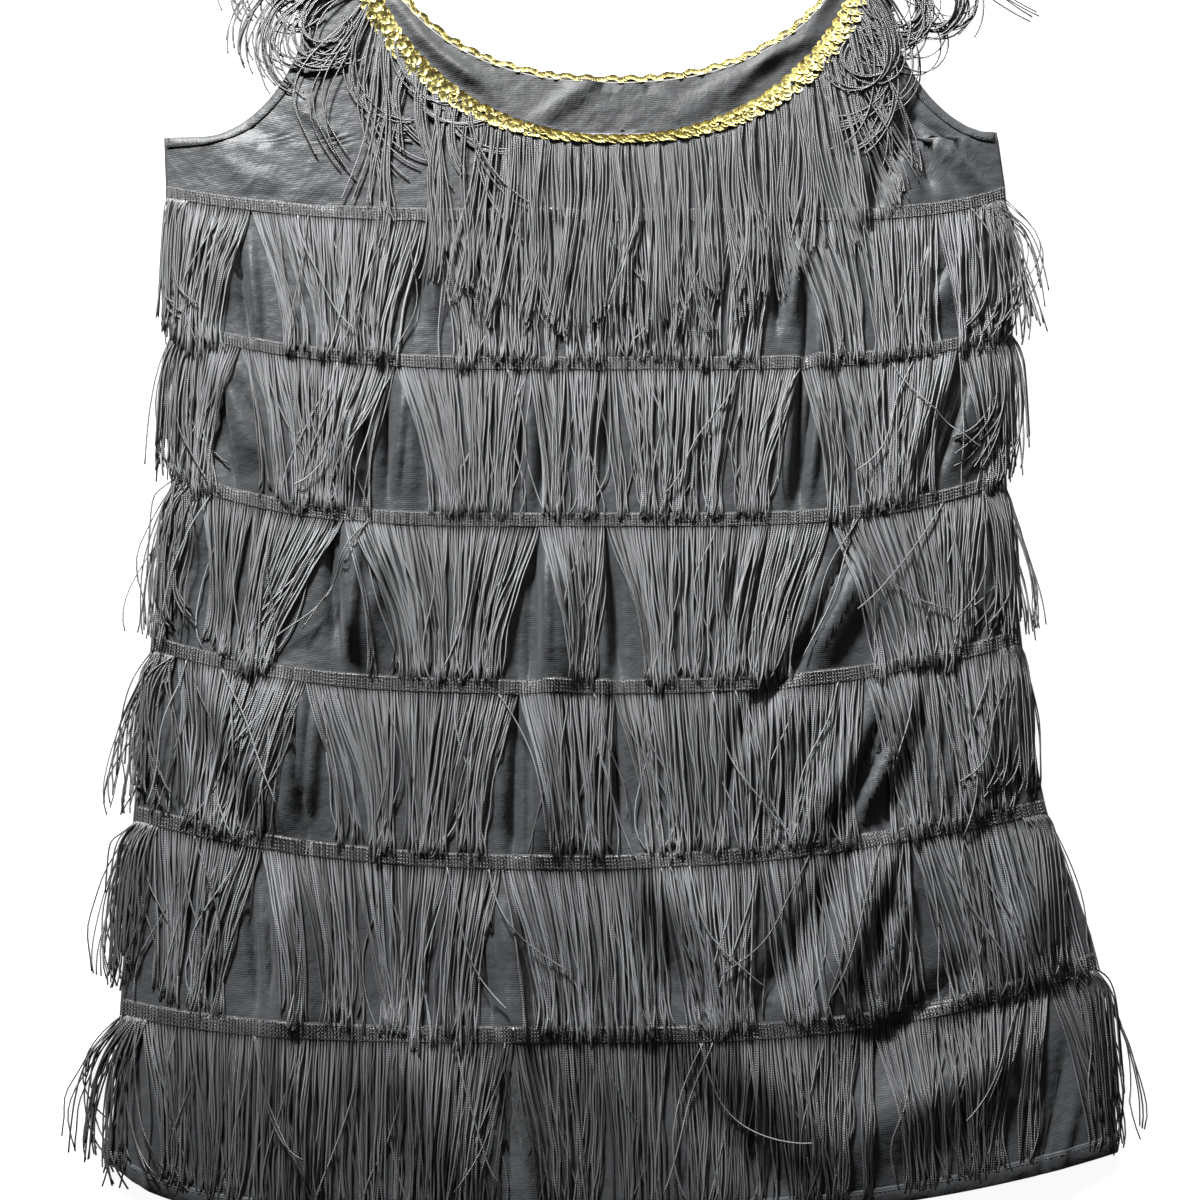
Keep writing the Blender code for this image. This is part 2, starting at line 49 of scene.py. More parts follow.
# Cloth: all but the knit's thickness and the depth of its creases are the solids' own values
CLOTH = 1.5 * MM
SEAM_GAP = 0.3 * MM
LOFT = 6.0 * MM
LOWEST = 0.4 * MM
EDGE_POWER = 8
KNIT = 1.1 * MM
CREASE_DEPTH = 1.5

# Grid of the panels
NECK_GAP = 0.012
HALF_COLUMNS = 142
ROWS_IN_TIER = 15
ROWS_IN_YOKE = 3
BACK_HALF_COLUMNS = 64
BACK_ROWS_IN_TIER = 6

# Height map that strands and trims are laid on, and the height from which rays look down at the cloth
RAY_HEIGHT = 0.2
MAP_START = (-330 * MM, -370 * MM)
MAP_SIZE = (660 * MM, 880 * MM)
MAP_STEP = 3.0 * MM

# Woven tapes of the fringe: shares are of the depth of a row
TAPE_SHARE = 0.08
FIRST_TAPE_SHARE = 0.13
TAPE_CLOTH = 0.35 * MM
TAPE_POINTS = 181
TAPE_CORDS = 5
CORD_POINTS = 261
CORD_RADIUS = 0.3 * MM
CORD_LIFT = 0.7 * MM
CORD_WOBBLE = 0.08 * MM
BAR_RADIUS = 0.36 * MM
WEAVE_LIFT = 0.75 * MM
WEAVE_DEPTH = 0.42 * MM
TAPE_STEPS = 9

# Bunches of strands: their width, and the least and the most that their strands pull together
Bunching = namedtuple("Bunching", "width least most")
WIDE_BUNCH = Bunching(36 * MM, 0.0, 0.35)
MIDDLE_BUNCH = Bunching(13 * MM, 0.05, 0.55)
NARROW_BUNCH = Bunching(4.2 * MM, 0.1, 0.75)
NECK_WIDE_BUNCH = Bunching(16 * MM, 0.0, 0.5)
NECK_NARROW_BUNCH = Bunching(4.5 * MM, 0.2, 0.9)

# Strands of the six rows
ROW_STRANDS = 600
STRAND_RADIUS = 0.5 * MM
FREE_STEPS = 14
ALL_STEPS = TAPE_STEPS + FREE_STEPS
CUT_END = 1.004
TIP_TAPER = 0.5
FRINGE_LENGTH = 91 * MM
LONG_BUNCHES = 0.12
STRAY_STRANDS = 0.1
STRAY_REACH = 11 * MM
TIP_START = 0.9
LOOSE_STRANDS = 8
LOOSE_LIFT = 4.2 * MM

# Strands of the neckline: a straight curtain in front, curled loops off the straps
NECK_STRANDS = 720
NECK_STEPS = 26
NECK_SHARE = 0.488
NECK_FRINGE_LENGTH = 124.0 * MM
SHOULDER_FRINGE_LENGTH = 122.0 * MM
LOOP_RADIUS = 0.6 * MM
NECK_TUFT = 6 * MM
FRINGE_TOP = 510 * MM
STRAP_START = 380 * MM
STRAP_BLEND = 20 * MM
SLOPE_START = 0.33
SLOPE_BLEND = 0.05
SWEPT_FROM = 0.316
SWEPT_TO = 0.37
SWEPT_TUFTS = 0.5

# Shade of the yarn: 1 is the palest that it gets in the light
# The lowest row is darker as painted shade, for the light falling off towards the hem
LOWEST_ROW_PAINTED_SHADE = 0.5
CURTAIN_SHADE = 0.42
# Loops off the straps, tufts at the side seams and the tape cords are darker as painted shade
EDGE_AND_CORD_PAINTED_SHADE = 0.12

# Trims
FRONT_TRIM_LENGTH = 560 * MM
BACK_TRIM_LENGTH = 500 * MM
SEQUIN_RADIUS = 3.2 * MM
BACK_SEQUIN_RADIUS = 2.3 * MM
SEQUIN_STEP = 1.6 * MM
SEQUIN_SIDES = 9
SEQUIN_RINGS = ((1.0, 0.0), (0.8, -0.07), (0.55, -0.2), (0.22, -0.26))
SEQUIN_LIFT = 0.5 * MM
BRAID_PITCH = 13.0 * MM
BRAID_THICK = 0.6 * MM
BRAID_POINTS = 200

# Turned edges: the round of their folded cloth is in millimetres
HEM_WIDTH = 7.0 * MM
HEM_CLOTH = 0.5 * MM
HEM_ROUND = 0.35
ARMHOLE_POINTS = 130
HEM_POINTS = 260
HEM_STITCHES = 420
STITCH_RADIUS = 0.18 * MM
STITCH_PITCH = 2.6 * MM

# Lengthwise sections of both panels, in millimetres, from the first fringe row down to the hem
Section = namedtuple("Section", "y left right rise_left rise_right bend_left bend_right")
SECTIONS = (
    Section(243, -268, 250, 18, 18, 4.0, 7.0),
    Section(147, -261, 250, 26, 26, 3.2, 4.5),
    Section(50, -254, 241, 31, 29, 4.0, 4.0),
    Section(-49, -260, 244, 27, 31, 3.2, 2.8),
    Section(-149, -264, 252, 29, 32, 2.5, 1.9),
    Section(-242, -265, 275, 15, 40, 4.0, 2.6),
    Section(-343, -265, 281, 29, 35, 7.0, 2.2),
)
ROWS = len(SECTIONS) - 1

# Armholes, in millimetres: a flat underarm, an oval bend and a strap edge that flares to the shoulder
Armhole = namedtuple("Armhole", "corner_x corner_y pit_x turn_x turn_y bend shoulder_x")
LEFT_ARMHOLE = Armhole(-271, 294, -250, -185, 385, 1.85, -201)
RIGHT_ARMHOLE = Armhole(247, 298, 240, 184, 378, 1.6, 219)
ARMHOLES = (("left", LEFT_ARMHOLE, -1), ("right", RIGHT_ARMHOLE, 1))
SHOULDER_Y = 484
FLARE_POWER = 1.7

# Necklines are the lower half of an oval hung from the shoulder seams, in millimetres
Neckline = namedtuple("Neckline", "x y half_width depth roundness")
FRONT_NECK = Neckline(9, 492, 166, 196, 2.25)
BACK_NECK = Neckline(9, 492, 163, 159, 2.3)

# Rows of the shoulder part: place on the armhole side and on the neckline side, each 0 at its start
YokeRow = namedtuple("YokeRow", "arm neck")
YOKE_ROWS = (
    YokeRow(-1.0, -1.0),
    YokeRow(-0.5, -0.6),
    YokeRow(0.0, -0.25),
    YokeRow(0.13, 0.0),
    YokeRow(0.20, 0.09),
    YokeRow(0.27, 0.18),
    YokeRow(0.35, 0.27),
    YokeRow(0.43, 0.36),
    YokeRow(0.51, 0.45),
    YokeRow(0.59, 0.54),
    YokeRow(0.68, 0.64),
    YokeRow(0.78, 0.76),
    YokeRow(0.89, 0.88),
    YokeRow(1.0, 1.0),
)
NECK_START = 3
YOKE_FADE = 4.0

# Folds of the front panel, in millimetres: turn is the angle from the length of the dress, in degrees
Fold = namedtuple("Fold", "x y length width turn height")
FOLDS = (
    Fold(-250, -290, 110, 16, 6, 9),
    Fold(-168, -281, 100, 14, 11, 8),
    Fold(-90, -289, 100, 18, 27, 8),
    Fold(-39, -290, 110, 14, 11, 10),
    Fold(66, -291, 120, 15, 45, -5),
    Fold(92, -276, 130, 20, 45, 8),
    Fold(201, -246, 110, 14, -65, -5),
    Fold(188, -272, 120, 18, -62, 9),
    Fold(-192, -187, 90, 12, 9, -5),
    Fold(-174, -203, 80, 13, 6, 10),
    Fold(-48, -214, 80, 12, 10, 9),
    Fold(26, -196, 110, 13, 35, -5),
    Fold(52, -190, 110, 18, 33, 9),
    Fold(121, -181, 100, 13, -25, -5),
    Fold(145, -185, 100, 17, -25, 9),
    Fold(240, -180, 70, 14, -24, 8),
    Fold(124, -97, 120, 13, -35, -5),
    Fold(147, -88, 110, 17, -33, 9),
    Fold(-178, -88, 80, 14, 2, 8),
    Fold(-50, -106, 90, 12, -1, -5),
    Fold(-32, -104, 90, 12, 0, 9),
    Fold(218, -88, 80, 14, -24, 8),
    Fold(-224, 5, 60, 12, 18, -5),
    Fold(-139, 4, 80, 13, 4, 8),
    Fold(-44, -11, 85, 12, -1, -5),
    Fold(-26, -14, 85, 12, 0, 10),
    Fold(130, -12, 60, 13, -33, 6),
    Fold(-236, 110, 90, 12, 16, -5),
    Fold(-216, 116, 70, 13, 22, 8),
    Fold(-143, 92, 60, 12, 5, 6),
    Fold(195, 104, 80, 15, -25, 8),
    Fold(-236, 208, 50, 13, 27, 6),
    Fold(216, 205, 60, 13, -31, 8),
    Fold(214, 288, 60, 12, 33, 4),
)

# Creases finer than the folds of the solids, on the front panel
CREASES = (
    Fold(-231, 219, 34, 3.0, 37, 3.3),
    Fold(-224, 212, 30, 2.5, 33, -4.2),
    Fold(-245, 203, 34, 2.5, 20, -4.2),
    Fold(-251, 188, 34, 3.0, 24, 3.0),
    Fold(-246, 112, 60, 3.6, 14, 3.0),
    Fold(-228, 108, 80, 3.1, 17, -4.6),
    Fold(-208, 112, 50, 3.1, 26, -4.2),
    Fold(-147, 92, 44, 3.0, 4, 3.3),
    Fold(-139, 88, 44, 2.5, 8, -3.8),
    Fold(-112, 92, 60, 4.2, 3, 2.7),
    Fold(-42, 92, 70, 3.6, 0, 2.7),
    Fold(-34, 90, 60, 2.5, -2, -3.4),
    Fold(132, 160, 50, 3.6, -2, 3.0),
    Fold(124, 166, 44, 2.5, -2, -3.8),
    Fold(112, 96, 70, 4.2, -6, 2.7),
    Fold(122, 90, 70, 3.1, -8, -3.8),
    Fold(204, 112, 84, 3.6, -25, -4.6),
    Fold(216, 104, 60, 3.6, -22, 3.0),
    Fold(170, 262, 34, 3.1, -3, -4.6),
    Fold(160, 258, 36, 3.6, 4, 2.4),
    Fold(190, 276, 50, 4.2, 20, 2.7),
    Fold(208, 281, 54, 3.1, 31, -5.0),
    Fold(221, 279, 50, 3.6, 35, 2.7),
    Fold(232, 276, 46, 2.5, 39, -3.8),
    Fold(210, 207, 46, 3.1, -31, -5.0),
    Fold(224, 209, 40, 2.5, -35, -4.2),
    Fold(236, 190, 40, 3.0, -28, 2.7),
    Fold(-242, 0, 48, 3.0, 19, 3.3),
    Fold(-234, 6, 44, 2.5, 18, -4.6),
    Fold(-220, 10, 40, 3.0, 18, 2.7),
    Fold(-156, 6, 64, 3.1, 5, -5.0),
    Fold(-147, 2, 60, 3.0, 6, 3.3),
    Fold(-128, 12, 50, 3.6, -6, 2.1),
    Fold(-57, -10, 60, 3.6, 2, 2.7),
    Fold(-36, -12, 76, 2.2, 0, -3.8),
    Fold(2, -14, 70, 3.6, 2, 2.7),
    Fold(10, -16, 60, 2.5, 4, -3.8),
    Fold(124, -20, 48, 3.1, -33, -4.6),
    Fold(142, -14, 54, 3.6, -30, 2.7),
    Fold(-182, -90, 60, 2.5, 2, -4.6),
    Fold(-170, -88, 56, 3.0, 0, 3.0),
    Fold(-166, -128, 38, 2.5, 8, -4.2),
    Fold(-54, -106, 80, 3.0, -1, 2.7),
    Fold(-40, -108, 76, 2.5, 1, -4.2),
    Fold(6, -112, 60, 3.6, 4, 2.4),
    Fold(164, -94, 80, 4.2, -28, 3.0),
    Fold(176, -88, 80, 3.1, -20, -4.6),
    Fold(208, -96, 70, 3.6, -22, -3.8),
    Fold(-198, -188, 66, 3.6, 10, 3.0),
    Fold(-184, -190, 70, 2.5, 8, -5.0),
    Fold(-166, -206, 60, 2.5, 5, -4.2),
    Fold(-62, -220, 44, 2.5, 15, -4.2),
    Fold(-54, -216, 52, 2.4, 12, 3.0),
    Fold(-40, -212, 56, 2.5, 8, -4.2),
    Fold(112, -180, 70, 3.6, -26, 2.7),
    Fold(160, -186, 70, 3.6, -22, -3.8),
    Fold(-258, -296, 60, 2.5, 5, -4.2),
    Fold(-244, -298, 60, 3.0, 6, 3.0),
    Fold(-176, -284, 60, 2.5, 12, -4.6),
    Fold(-160, -286, 60, 3.0, 10, 3.0),
    Fold(-46, -294, 60, 2.5, 12, -4.6),
    Fold(-30, -296, 56, 2.5, 10, -3.4),
    Fold(244, -292, 60, 3.6, -16, 3.0),
    Fold(-40, 250, 70, 5.4, 60, 1.5),
    Fold(-240, 300, 60, 6.0, -30, 1.0),
    Fold(-225, 272, 44, 3.6, 40, 1.2),
    Fold(-215, 300, 50, 3.6, 55, -1.6),
    Fold(-190, 330, 60, 5.4, 20, 1.0),
    Fold(-218, 196, 70, 2.4, 12, -4.5),
    Fold(-209, 190, 56, 2.4, 8, 3.5),
    Fold(-109, 200, 60, 2.4, -4, -4.0),
    Fold(-101, 196, 50, 2.6, 3, 3.0),
    Fold(108, 200, 64, 2.4, -3, -4.0),
    Fold(118, 196, 54, 2.6, -6, 3.2),
    Fold(-221, 102, 66, 2.4, 10, -4.5),
    Fold(-127, 104, 76, 2.4, 3, -5.0),
    Fold(-118, 100, 60, 2.4, -3, 3.6),
    Fold(-47, 98, 80, 2.2, 1, -4.5),
    Fold(3, 104, 60, 2.2, 2, -4.0),
    Fold(117, 100, 80, 2.4, -5, -5.0),
    Fold(127, 96, 64, 2.4, -8, 3.6),
    Fold(211, 108, 66, 2.4, -20, -4.5),
    Fold(222, 104, 56, 2.4, -24, 3.0),
    Fold(-151, 8, 76, 2.2, 3, -5.0),
    Fold(-142, 2, 66, 2.2, -2, 4.0),
    Fold(-40, -10, 74, 2.2, -1, -5.0),
    Fold(-31, -8, 60, 2.4, 2, 3.6),
    Fold(6, -4, 70, 2.2, 3, -4.5),
    Fold(118, 6, 60, 2.6, -20, -3.5),
    Fold(132, 2, 80, 2.4, -28, -4.5),
    Fold(140, -4, 60, 2.4, -30, 3.6),
    Fold(226, 0, 60, 2.4, -18, -4.0),
    Fold(-172, -92, 72, 2.2, 4, -5.0),
    Fold(-163, -96, 60, 2.4, -2, 3.6),
    Fold(-48, -100, 80, 2.2, -1, -5.0),
    Fold(-58, -104, 50, 2.4, 6, 3.4),
    Fold(9, -96, 70, 2.2, 3, -4.5),
    Fold(150, -92, 80, 2.4, -24, -5.0),
    Fold(160, -98, 60, 2.4, -26, 3.6),
    Fold(-194, -190, 80, 2.4, 9, -5.0),
    Fold(-186, -194, 60, 2.4, 5, 3.6),
    Fold(-58, -196, 70, 2.2, 10, -5.0),
    Fold(152, -190, 80, 2.4, -22, -5.0),
    Fold(163, -194, 60, 2.4, -20, 3.6),
    Fold(-250, -292, 70, 2.4, 5, -4.5),
    Fold(-52, -288, 70, 2.2, 10, -5.0),
    Fold(-42, -286, 60, 2.4, 14, 3.4),
    Fold(246, -286, 70, 2.4, -16, -4.5),
    Fold(256, -290, 50, 2.4, -18, 3.0),
    Fold(-196, 352, 44, 2.6, 62, -1.6),
    Fold(-214, 322, 50, 2.6, 66, 1.6),
    Fold(-180, 306, 60, 3.0, 48, 1.8),
    Fold(-206, 262, 56, 2.6, 70, 1.8),
    Fold(-188, 250, 50, 2.4, 78, -1.6),
    Fold(-224, -86, 120, 8.0, 29, -6.0),
    Fold(-208, -84, 110, 7.0, 29, 4.0),
    Fold(-226, -196, 90, 7.0, 20, -4.0),
    Fold(108, -196, 80, 6.0, -34, -4.5),
    Fold(176, -232, 90, 7.0, -52, -4.0),
    Fold(150, -104, 90, 6.0, -36, -4.5),
    Fold(96, -58, 70, 6.0, -40, -4.0),
    Fold(195, 280, 44, 5.0, 25, -6.0),
    Fold(184, 284, 60, 3.6, -27, -5.0),
    Fold(221, 285, 42, 2.6, 49, -5.0),
    Fold(205, 300, 40, 4.0, 60, -3.0),
    Fold(-178, 100, 60, 2.6, 8, -4.0),
    Fold(76, 8, 60, 2.6, -6, -3.5),
    Fold(74, -100, 60, 2.6, -14, -3.5),
    Fold(-110, -190, 60, 2.8, 8, -4.0),
    Fold(-112, -290, 60, 2.8, 12, -4.0),
)

# Creases of the back panel between the two necklines, where its inside shows
BACK_CREASES = (
    Fold(-70, 330, 70, 5.6, 55, 3.0),
    Fold(-48, 318, 60, 4.0, 62, -1.9),
    Fold(-20, 322, 60, 4.8, -52, 3.4),
    Fold(-2, 316, 50, 4.0, 48, 2.3),
    Fold(22, 322, 56, 4.8, -38, -1.9),
    Fold(44, 318, 64, 4.8, 42, 3.0),
    Fold(70, 326, 60, 5.6, -50, 2.5),
    Fold(96, 340, 60, 4.8, -44, 2.7),
    Fold(120, 356, 50, 4.8, -60, 2.3),
    Fold(-98, 350, 60, 4.8, 48, 2.3),
    Fold(-120, 376, 50, 4.8, 38, 2.3),
    Fold(140, 384, 50, 4.8, -30, 1.9),
)

# Partings of the fringe, in millimetres: strands on both sides lean away from x by up to spread
Parting = namedtuple("Parting", "row x spread reach")
PARTINGS = (
    Parting(1, -213, 15, 30),
    Parting(1, -105, 13, 26),
    Parting(1, 113, 15, 30),
    Parting(2, -215, 13, 30),
    Parting(2, -122, 15, 32),
    Parting(2, -42, 8, 22),
    Parting(2, 5, 5, 16),
    Parting(2, 120, 13, 30),
    Parting(2, 215, 9, 24),
    Parting(3, -235, 9, 24),
    Parting(3, -150, 21, 42),
    Parting(3, -35, 14, 32),
    Parting(3, 3, 9, 20),
    Parting(3, 135, 18, 40),
    Parting(3, 228, 8, 22),
    Parting(4, -245, 9, 22),
    Parting(4, -168, 16, 40),
    Parting(4, -46, 14, 35),
    Parting(4, 8, 8, 25),
    Parting(4, 152, 9, 24),
    Parting(5, -252, 9, 22),
    Parting(5, -190, 14, 38),
    Parting(5, -55, 11, 32),
    Parting(5, 174, 7, 20),
    Parting(6, -252, 10, 26),
    Parting(6, -47, 9, 24),
    Parting(6, 150, 6, 20),
    Parting(6, 248, 12, 30),
)
LEAN = 1.35
LEAN_REACH = 1.3

# How far the outermost strands of each row reach past the side seams, in millimetres
SideReach = namedtuple("SideReach", "left right")
SIDE_REACH = (
    SideReach(8, 46),
    SideReach(15, 12),
    SideReach(16, 12),
    SideReach(20, 12),
    SideReach(20, 10),
    SideReach(30, 16),
)
SIDE_SHARE = 0.06
SIDE_STRANDS = 32
TUFT_STRANDS = 4

# Sockets of the shared effects of cloth and yarn
CLOTH_INPUTS = {"Dark": "NodeSocketColor", "Pale": "NodeSocketColor", "Roughness": "NodeSocketFloat"}
CLOTH_OUTPUTS = {"Color": "NodeSocketColor", "Roughness": "NodeSocketFloat", "Normal": "NodeSocketVector"}

# Finishes of cloth and yarn
Finish = namedtuple("Finish", "dark pale roughness sheen specular")
SATIN_KNIT = Finish((0.0152, 0.0164, 0.0176), (0.0282, 0.0298, 0.0315), 0.42, 0.04, 0.08)
KNIT_INSIDE = Finish((0.0066, 0.0073, 0.008), (0.0129, 0.0137, 0.0146), 0.56, 0.04, 0.2)
CHAINETTE = Finish((0.006, 0.0064, 0.0072), (0.12, 0.125, 0.131), 0.38, 0.08, 0.5)
TAPE_WEAVE = Finish((0.008, 0.008, 0.009), (0.024, 0.024, 0.026), 0.5, 0.08, 0.5)
TRIM_BRAID = Finish((0.05, 0.03, 0.012), (0.2, 0.12, 0.03), 0.55, 0.08, 0.5)

# Shades of the gold foil, from the darkest sequins to the palest, picked by painted shade and random tone,
# and of its rim
FOIL_DARK = (0.2, 0.12, 0.03, 1)
FOIL_GOLD = (0.58, 0.5, 0.165, 1)
FOIL_PALE = (0.7, 0.63, 0.25, 1)
FOIL_RIM = (0.04, 0.025, 0.004, 1)

# Patterns: ribs, grain, shade and puckers of the knit, chained loops of the yarn, scratches of the foil
RIB_SCALE = 310 / 1.2
GRAIN_SCALE = 900
SHADE_SCALE = 14
PUCKER_SCALE = 110
CHAIN_PITCH = 1.25 * MM
CHAIN_SHIFT = 60.0
SCRATCH_SCALE = 1400

# Stage: the photograph's camera, and lamps that point at the dress
PHOTO_PIXELS = 1200
FOCAL_PIXELS = 1710
SENSOR_WIDTH = 36
CAMERA_TILT = math.radians(13)
FLOOR_HALF = 8.0
Lamp = namedtuple("Lamp", "name place size power")
LAMPS = (
    Lamp("window", (-0.7, 1.93, 0.92), 0.36, 385),
    Lamp("shoulder_lamp", (0.35, 0.95, 0.5), 0.5, 5),
)


def smooth_value(values, place):
    """Catmull-Rom curve through values, read at a place counted in steps from the first one."""
    last = len(values) - 1
    start = min(max(int(math.floor(place)), 0), last - 1)
    t = place - start
    before = values[max(start - 1, 0)]
    first = values[start]
    second = values[start + 1]
    after = values[min(start + 2, last)]
    slope_in = (second - before) / 2
    slope_out = (after - first) / 2
    return (
        (2 * t**3 - 3 * t**2 + 1) * first
        + (t**3 - 2 * t**2 + t) * slope_in
        + (3 * t**2 - 2 * t**3) * second
        + (t**3 - t**2) * slope_out
    )


def mix(a, b, share):
    """Value between a and b, at a share of the way."""
    return a + (b - a) * share


def at_height(plan, height):
    """Points at a height over plan places."""
    return np.concatenate((plan, height[..., None]), axis=-1)


def along_path(points, shares):
    """Points at shares of a polyline's length."""
    steps = np.linalg.norm(np.diff(points, axis=0), axis=1)
    reached = np.concatenate(([0.0], np.cumsum(steps))) / steps.sum()
    return np.stack([np.interp(shares, reached, points[:, axis]) for axis in (0, 1)], axis=-1)


def body_line(row, across):
    """Plan points of the dress body along one row, at an array of places from -1 to 1."""
    value = {}
    for name in Section._fields:
        value[name] = smooth_value([getattr(section, name) for section in SECTIONS], row - 1)
    rise = np.where(across < 0, value["rise_left"], value["rise_right"])
    bend = np.where(across < 0, value["bend_left"], value["bend_right"])
    x = mix(value["left"], value["right"], (across + 1) / 2)
    y = value["y"] + rise * np.abs(across) ** bend
    return np.stack((x, y), axis=-1) * MM


def armhole_path(armhole):
    """Underarm corner, flat pit, oval bend and flared strap edge, up to the shoulder seam."""
    angle = np.radians(np.linspace(0, 90, 25))
    half_width = armhole.turn_x - armhole.pit_x
    height = armhole.turn_y - armhole.corner_y
    bend_x = armhole.pit_x + half_width * np.sin(angle) ** (2 / armhole.bend)
    bend_y = armhole.turn_y - height * np.abs(np.cos(angle)) ** (2 / armhole.bend)
    share = np.linspace(0, 1, 12)[1:]
    strap_x = mix(armhole.turn_x, armhole.shoulder_x, share**FLARE_POWER)
    strap_y = mix(armhole.turn_y, SHOULDER_Y, share)
    x = np.concatenate(([armhole.corner_x], bend_x, strap_x))
    y = np.concatenate(([armhole.corner_y], bend_y, strap_y))
    return np.stack((x, y), axis=-1) * MM


def neck_half_path(neck, side, half_gap):
    """One half of a neckline, from beside its lowest point up to the shoulder."""
    angle = np.linspace(0, math.pi / 2, 241)
    x = neck.half_width * np.sin(angle) ** (2 / neck.roundness)
    y = neck.y - neck.depth * np.abs(np.cos(angle)) ** (2 / neck.roundness)
    points = np.stack((neck.x + side * x, y), axis=-1) * MM
    return points[x * MM >= half_gap]


def on_edge(path, place, base):
    """Point at a place on an edge's path, or below its start towards a base point."""
    if place < 0:
        return mix(path[0], base, -place)
    return along_path(path, place)


def yoke_line(neck, place, half_columns):
    """Plan points of the shoulder part at a place counted in rows; 0 is the first fringe row."""
    rows = range(len(YOKE_ROWS))
    arm = np.interp(place, rows, [row.arm for row in YOKE_ROWS])
    neck_place = np.interp(place, rows, [row.neck for row in YOKE_ROWS])
    fade = max(0.0, 1 - place / YOKE_FADE)
    halves = []
    for _, armhole, side in ARMHOLES:
        inner_base, outer_base = body_line(1, np.array([side * NECK_GAP, side * 1.0]))
        half_gap = (SECTIONS[0].right - SECTIONS[0].left) / 2 * NECK_GAP * MM
        outer = on_edge(armhole_path(armhole), arm, outer_base)
        inner = on_edge(neck_half_path(neck, side, half_gap), neck_place, inner_base)
        share = ((half_columns - NECK_GAP) / (1 - NECK_GAP))[:, None]
        bend = body_line(1, side * half_columns) - mix(inner_base, outer_base, share)
        half = mix(inner, outer, share) + bend * fade
        halves.append(half[::-1] if side < 0 else half)
    return np.concatenate(halves)


def fold_sum(folds, points):
    """Height of a table of folds at plan points."""
    total = np.zeros(points.shape[:-1])
    for fold in folds:
        turn = math.radians(fold.turn)
        dx = points[..., 0] / MM - fold.x
        dy = points[..., 1] / MM - fold.y
        across = dx * math.cos(turn) + dy * math.sin(turn)
        along = dx * math.sin(turn) - dy * math.cos(turn)
        total += fold.height * MM * np.exp(-((across / fold.width) ** 2) - (2 * along / fold.length) ** 4)
    return total


def front_height(points, across, shoulder):
    """Underside of the front panel: closed at the side seams and at the shoulders, lofted between."""
    loft = LOFT + fold_sum(FOLDS, points) + CREASE_DEPTH * fold_sum(CREASES, points)
    held = (1 - np.abs(across) ** EDGE_POWER) * (1 - shoulder**3)
    return CLOTH + SEAM_GAP + np.maximum(loft, LOWEST) * held


def on_front(row, across):
    """Points of the front panel's outside along one row of the body."""
    plan = body_line(row, across)
    return at_height(plan, front_height(plan, across, 0.0) + KNIT)


Panel = namedtuple("Panel", "points across shoulders body_rows neck_row")


def panel_table(neck, half_columns, rows_in_tier):
    """Plan points of a panel, row by row from the hem to the shoulders, with its places across."""
    half = np.linspace(NECK_GAP, 1, half_columns)
    across = np.concatenate((-half[::-1], half))
    rows = []
    shoulders = []
    for row in np.linspace(ROWS + 1, 1, ROWS * rows_in_tier + 1):
        rows.append(body_line(row, across))
        shoulders.append(0.0)
    places = np.linspace(0, len(YOKE_ROWS) - 1, (len(YOKE_ROWS) - 1) * ROWS_IN_YOKE + 1)
    for place in places[1:]:
        rows.append(yoke_line(neck, place, half))
        neck_place = np.interp(place, range(len(YOKE_ROWS)), [row.neck for row in YOKE_ROWS])
        shoulders.append(max(0.0, neck_place))
    body_rows = ROWS * rows_in_tier + 1
    neck_row = body_rows - 1 + NECK_START * ROWS_IN_YOKE
    return Panel(np.array(rows), across, np.array(shoulders), body_rows, neck_row)


def panel_grid(panel, heights):
    """Sheet over a panel's points, with the cells of the neck opening taken away and a flat UV map."""
    rows = len(panel.points) - 1
    columns = len(panel.across) - 1
    centre = len(panel.across) // 2
    bm = bmesh.new()
    bmesh.ops.create_grid(bm, x_segments=columns, y_segments=rows, size=1.0)
    layer = bm.loops.layers.uv.new("cut")
    width = (SECTIONS[0].right - SECTIONS[0].left) * MM / 2
    first = panel.body_rows - 1
    down = panel.points[..., 1] - (panel.points[first, :, 1] - panel.points[first, centre, 1])
    down[:first] = panel.points[:first, centre, 1, None]
    for vert in bm.verts:
        column = round((vert.co.x + 1) / 2 * columns)
        row = round((vert.co.y + 1) / 2 * rows)
        vert.co = (*panel.points[row, column], heights[row, column])
        vert.tag = column in (centre - 1, centre) and row >= panel.neck_row
        for loop in vert.link_loops:
            loop[layer].uv = (panel.across[column] * width, down[row, column])
    between = [face for face in bm.faces if all(vert.tag for vert in face.verts)]
    bmesh.ops.delete(bm, geom=between, context="FACES")
    return bm


def finish_piece(name, mesh, material, slot, *nodes):
    """Puts a mesh in the scene as a piece on the body; only the three-sided ends of strands stay flat."""
    for polygon in mesh.polygons:
        polygon.use_smooth = len(polygon.vertices) > 3
    mesh.materials.append(material)
    piece = bpy.data.objects.new(name, mesh)
    bpy.context.scene.collection.objects.link(piece)
    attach(piece, BODY)
    if nodes:
        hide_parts(*nodes)
    return piece


def mesh_of(bm, name):
    """Mesh of a bmesh, which is freed."""
    mesh = bpy.data.meshes.new(name)
    bm.to_mesh(mesh)
    bm.free()
    return mesh


def make_front_panel(material):
    """The lofted front with its folds and creases, a sheet that its modifier gives the knit's thickness."""
    panel = panel_table(FRONT_NECK, HALF_COLUMNS, ROWS_IN_TIER)
    heights = front_height(panel.points, panel.across[None, :], panel.shoulders[:, None])
    bm = panel_grid(panel, heights)
    bmesh.ops.recalc_face_normals(bm, faces=bm.faces[:])
    piece = finish_piece("front_knit", mesh_of(bm, "front_knit"), material, "knit", "front_panel")
    wall = piece.modifiers.new("wall", "SOLIDIFY")
    wall.thickness = KNIT
    wall.offset = 1.0
    return piece


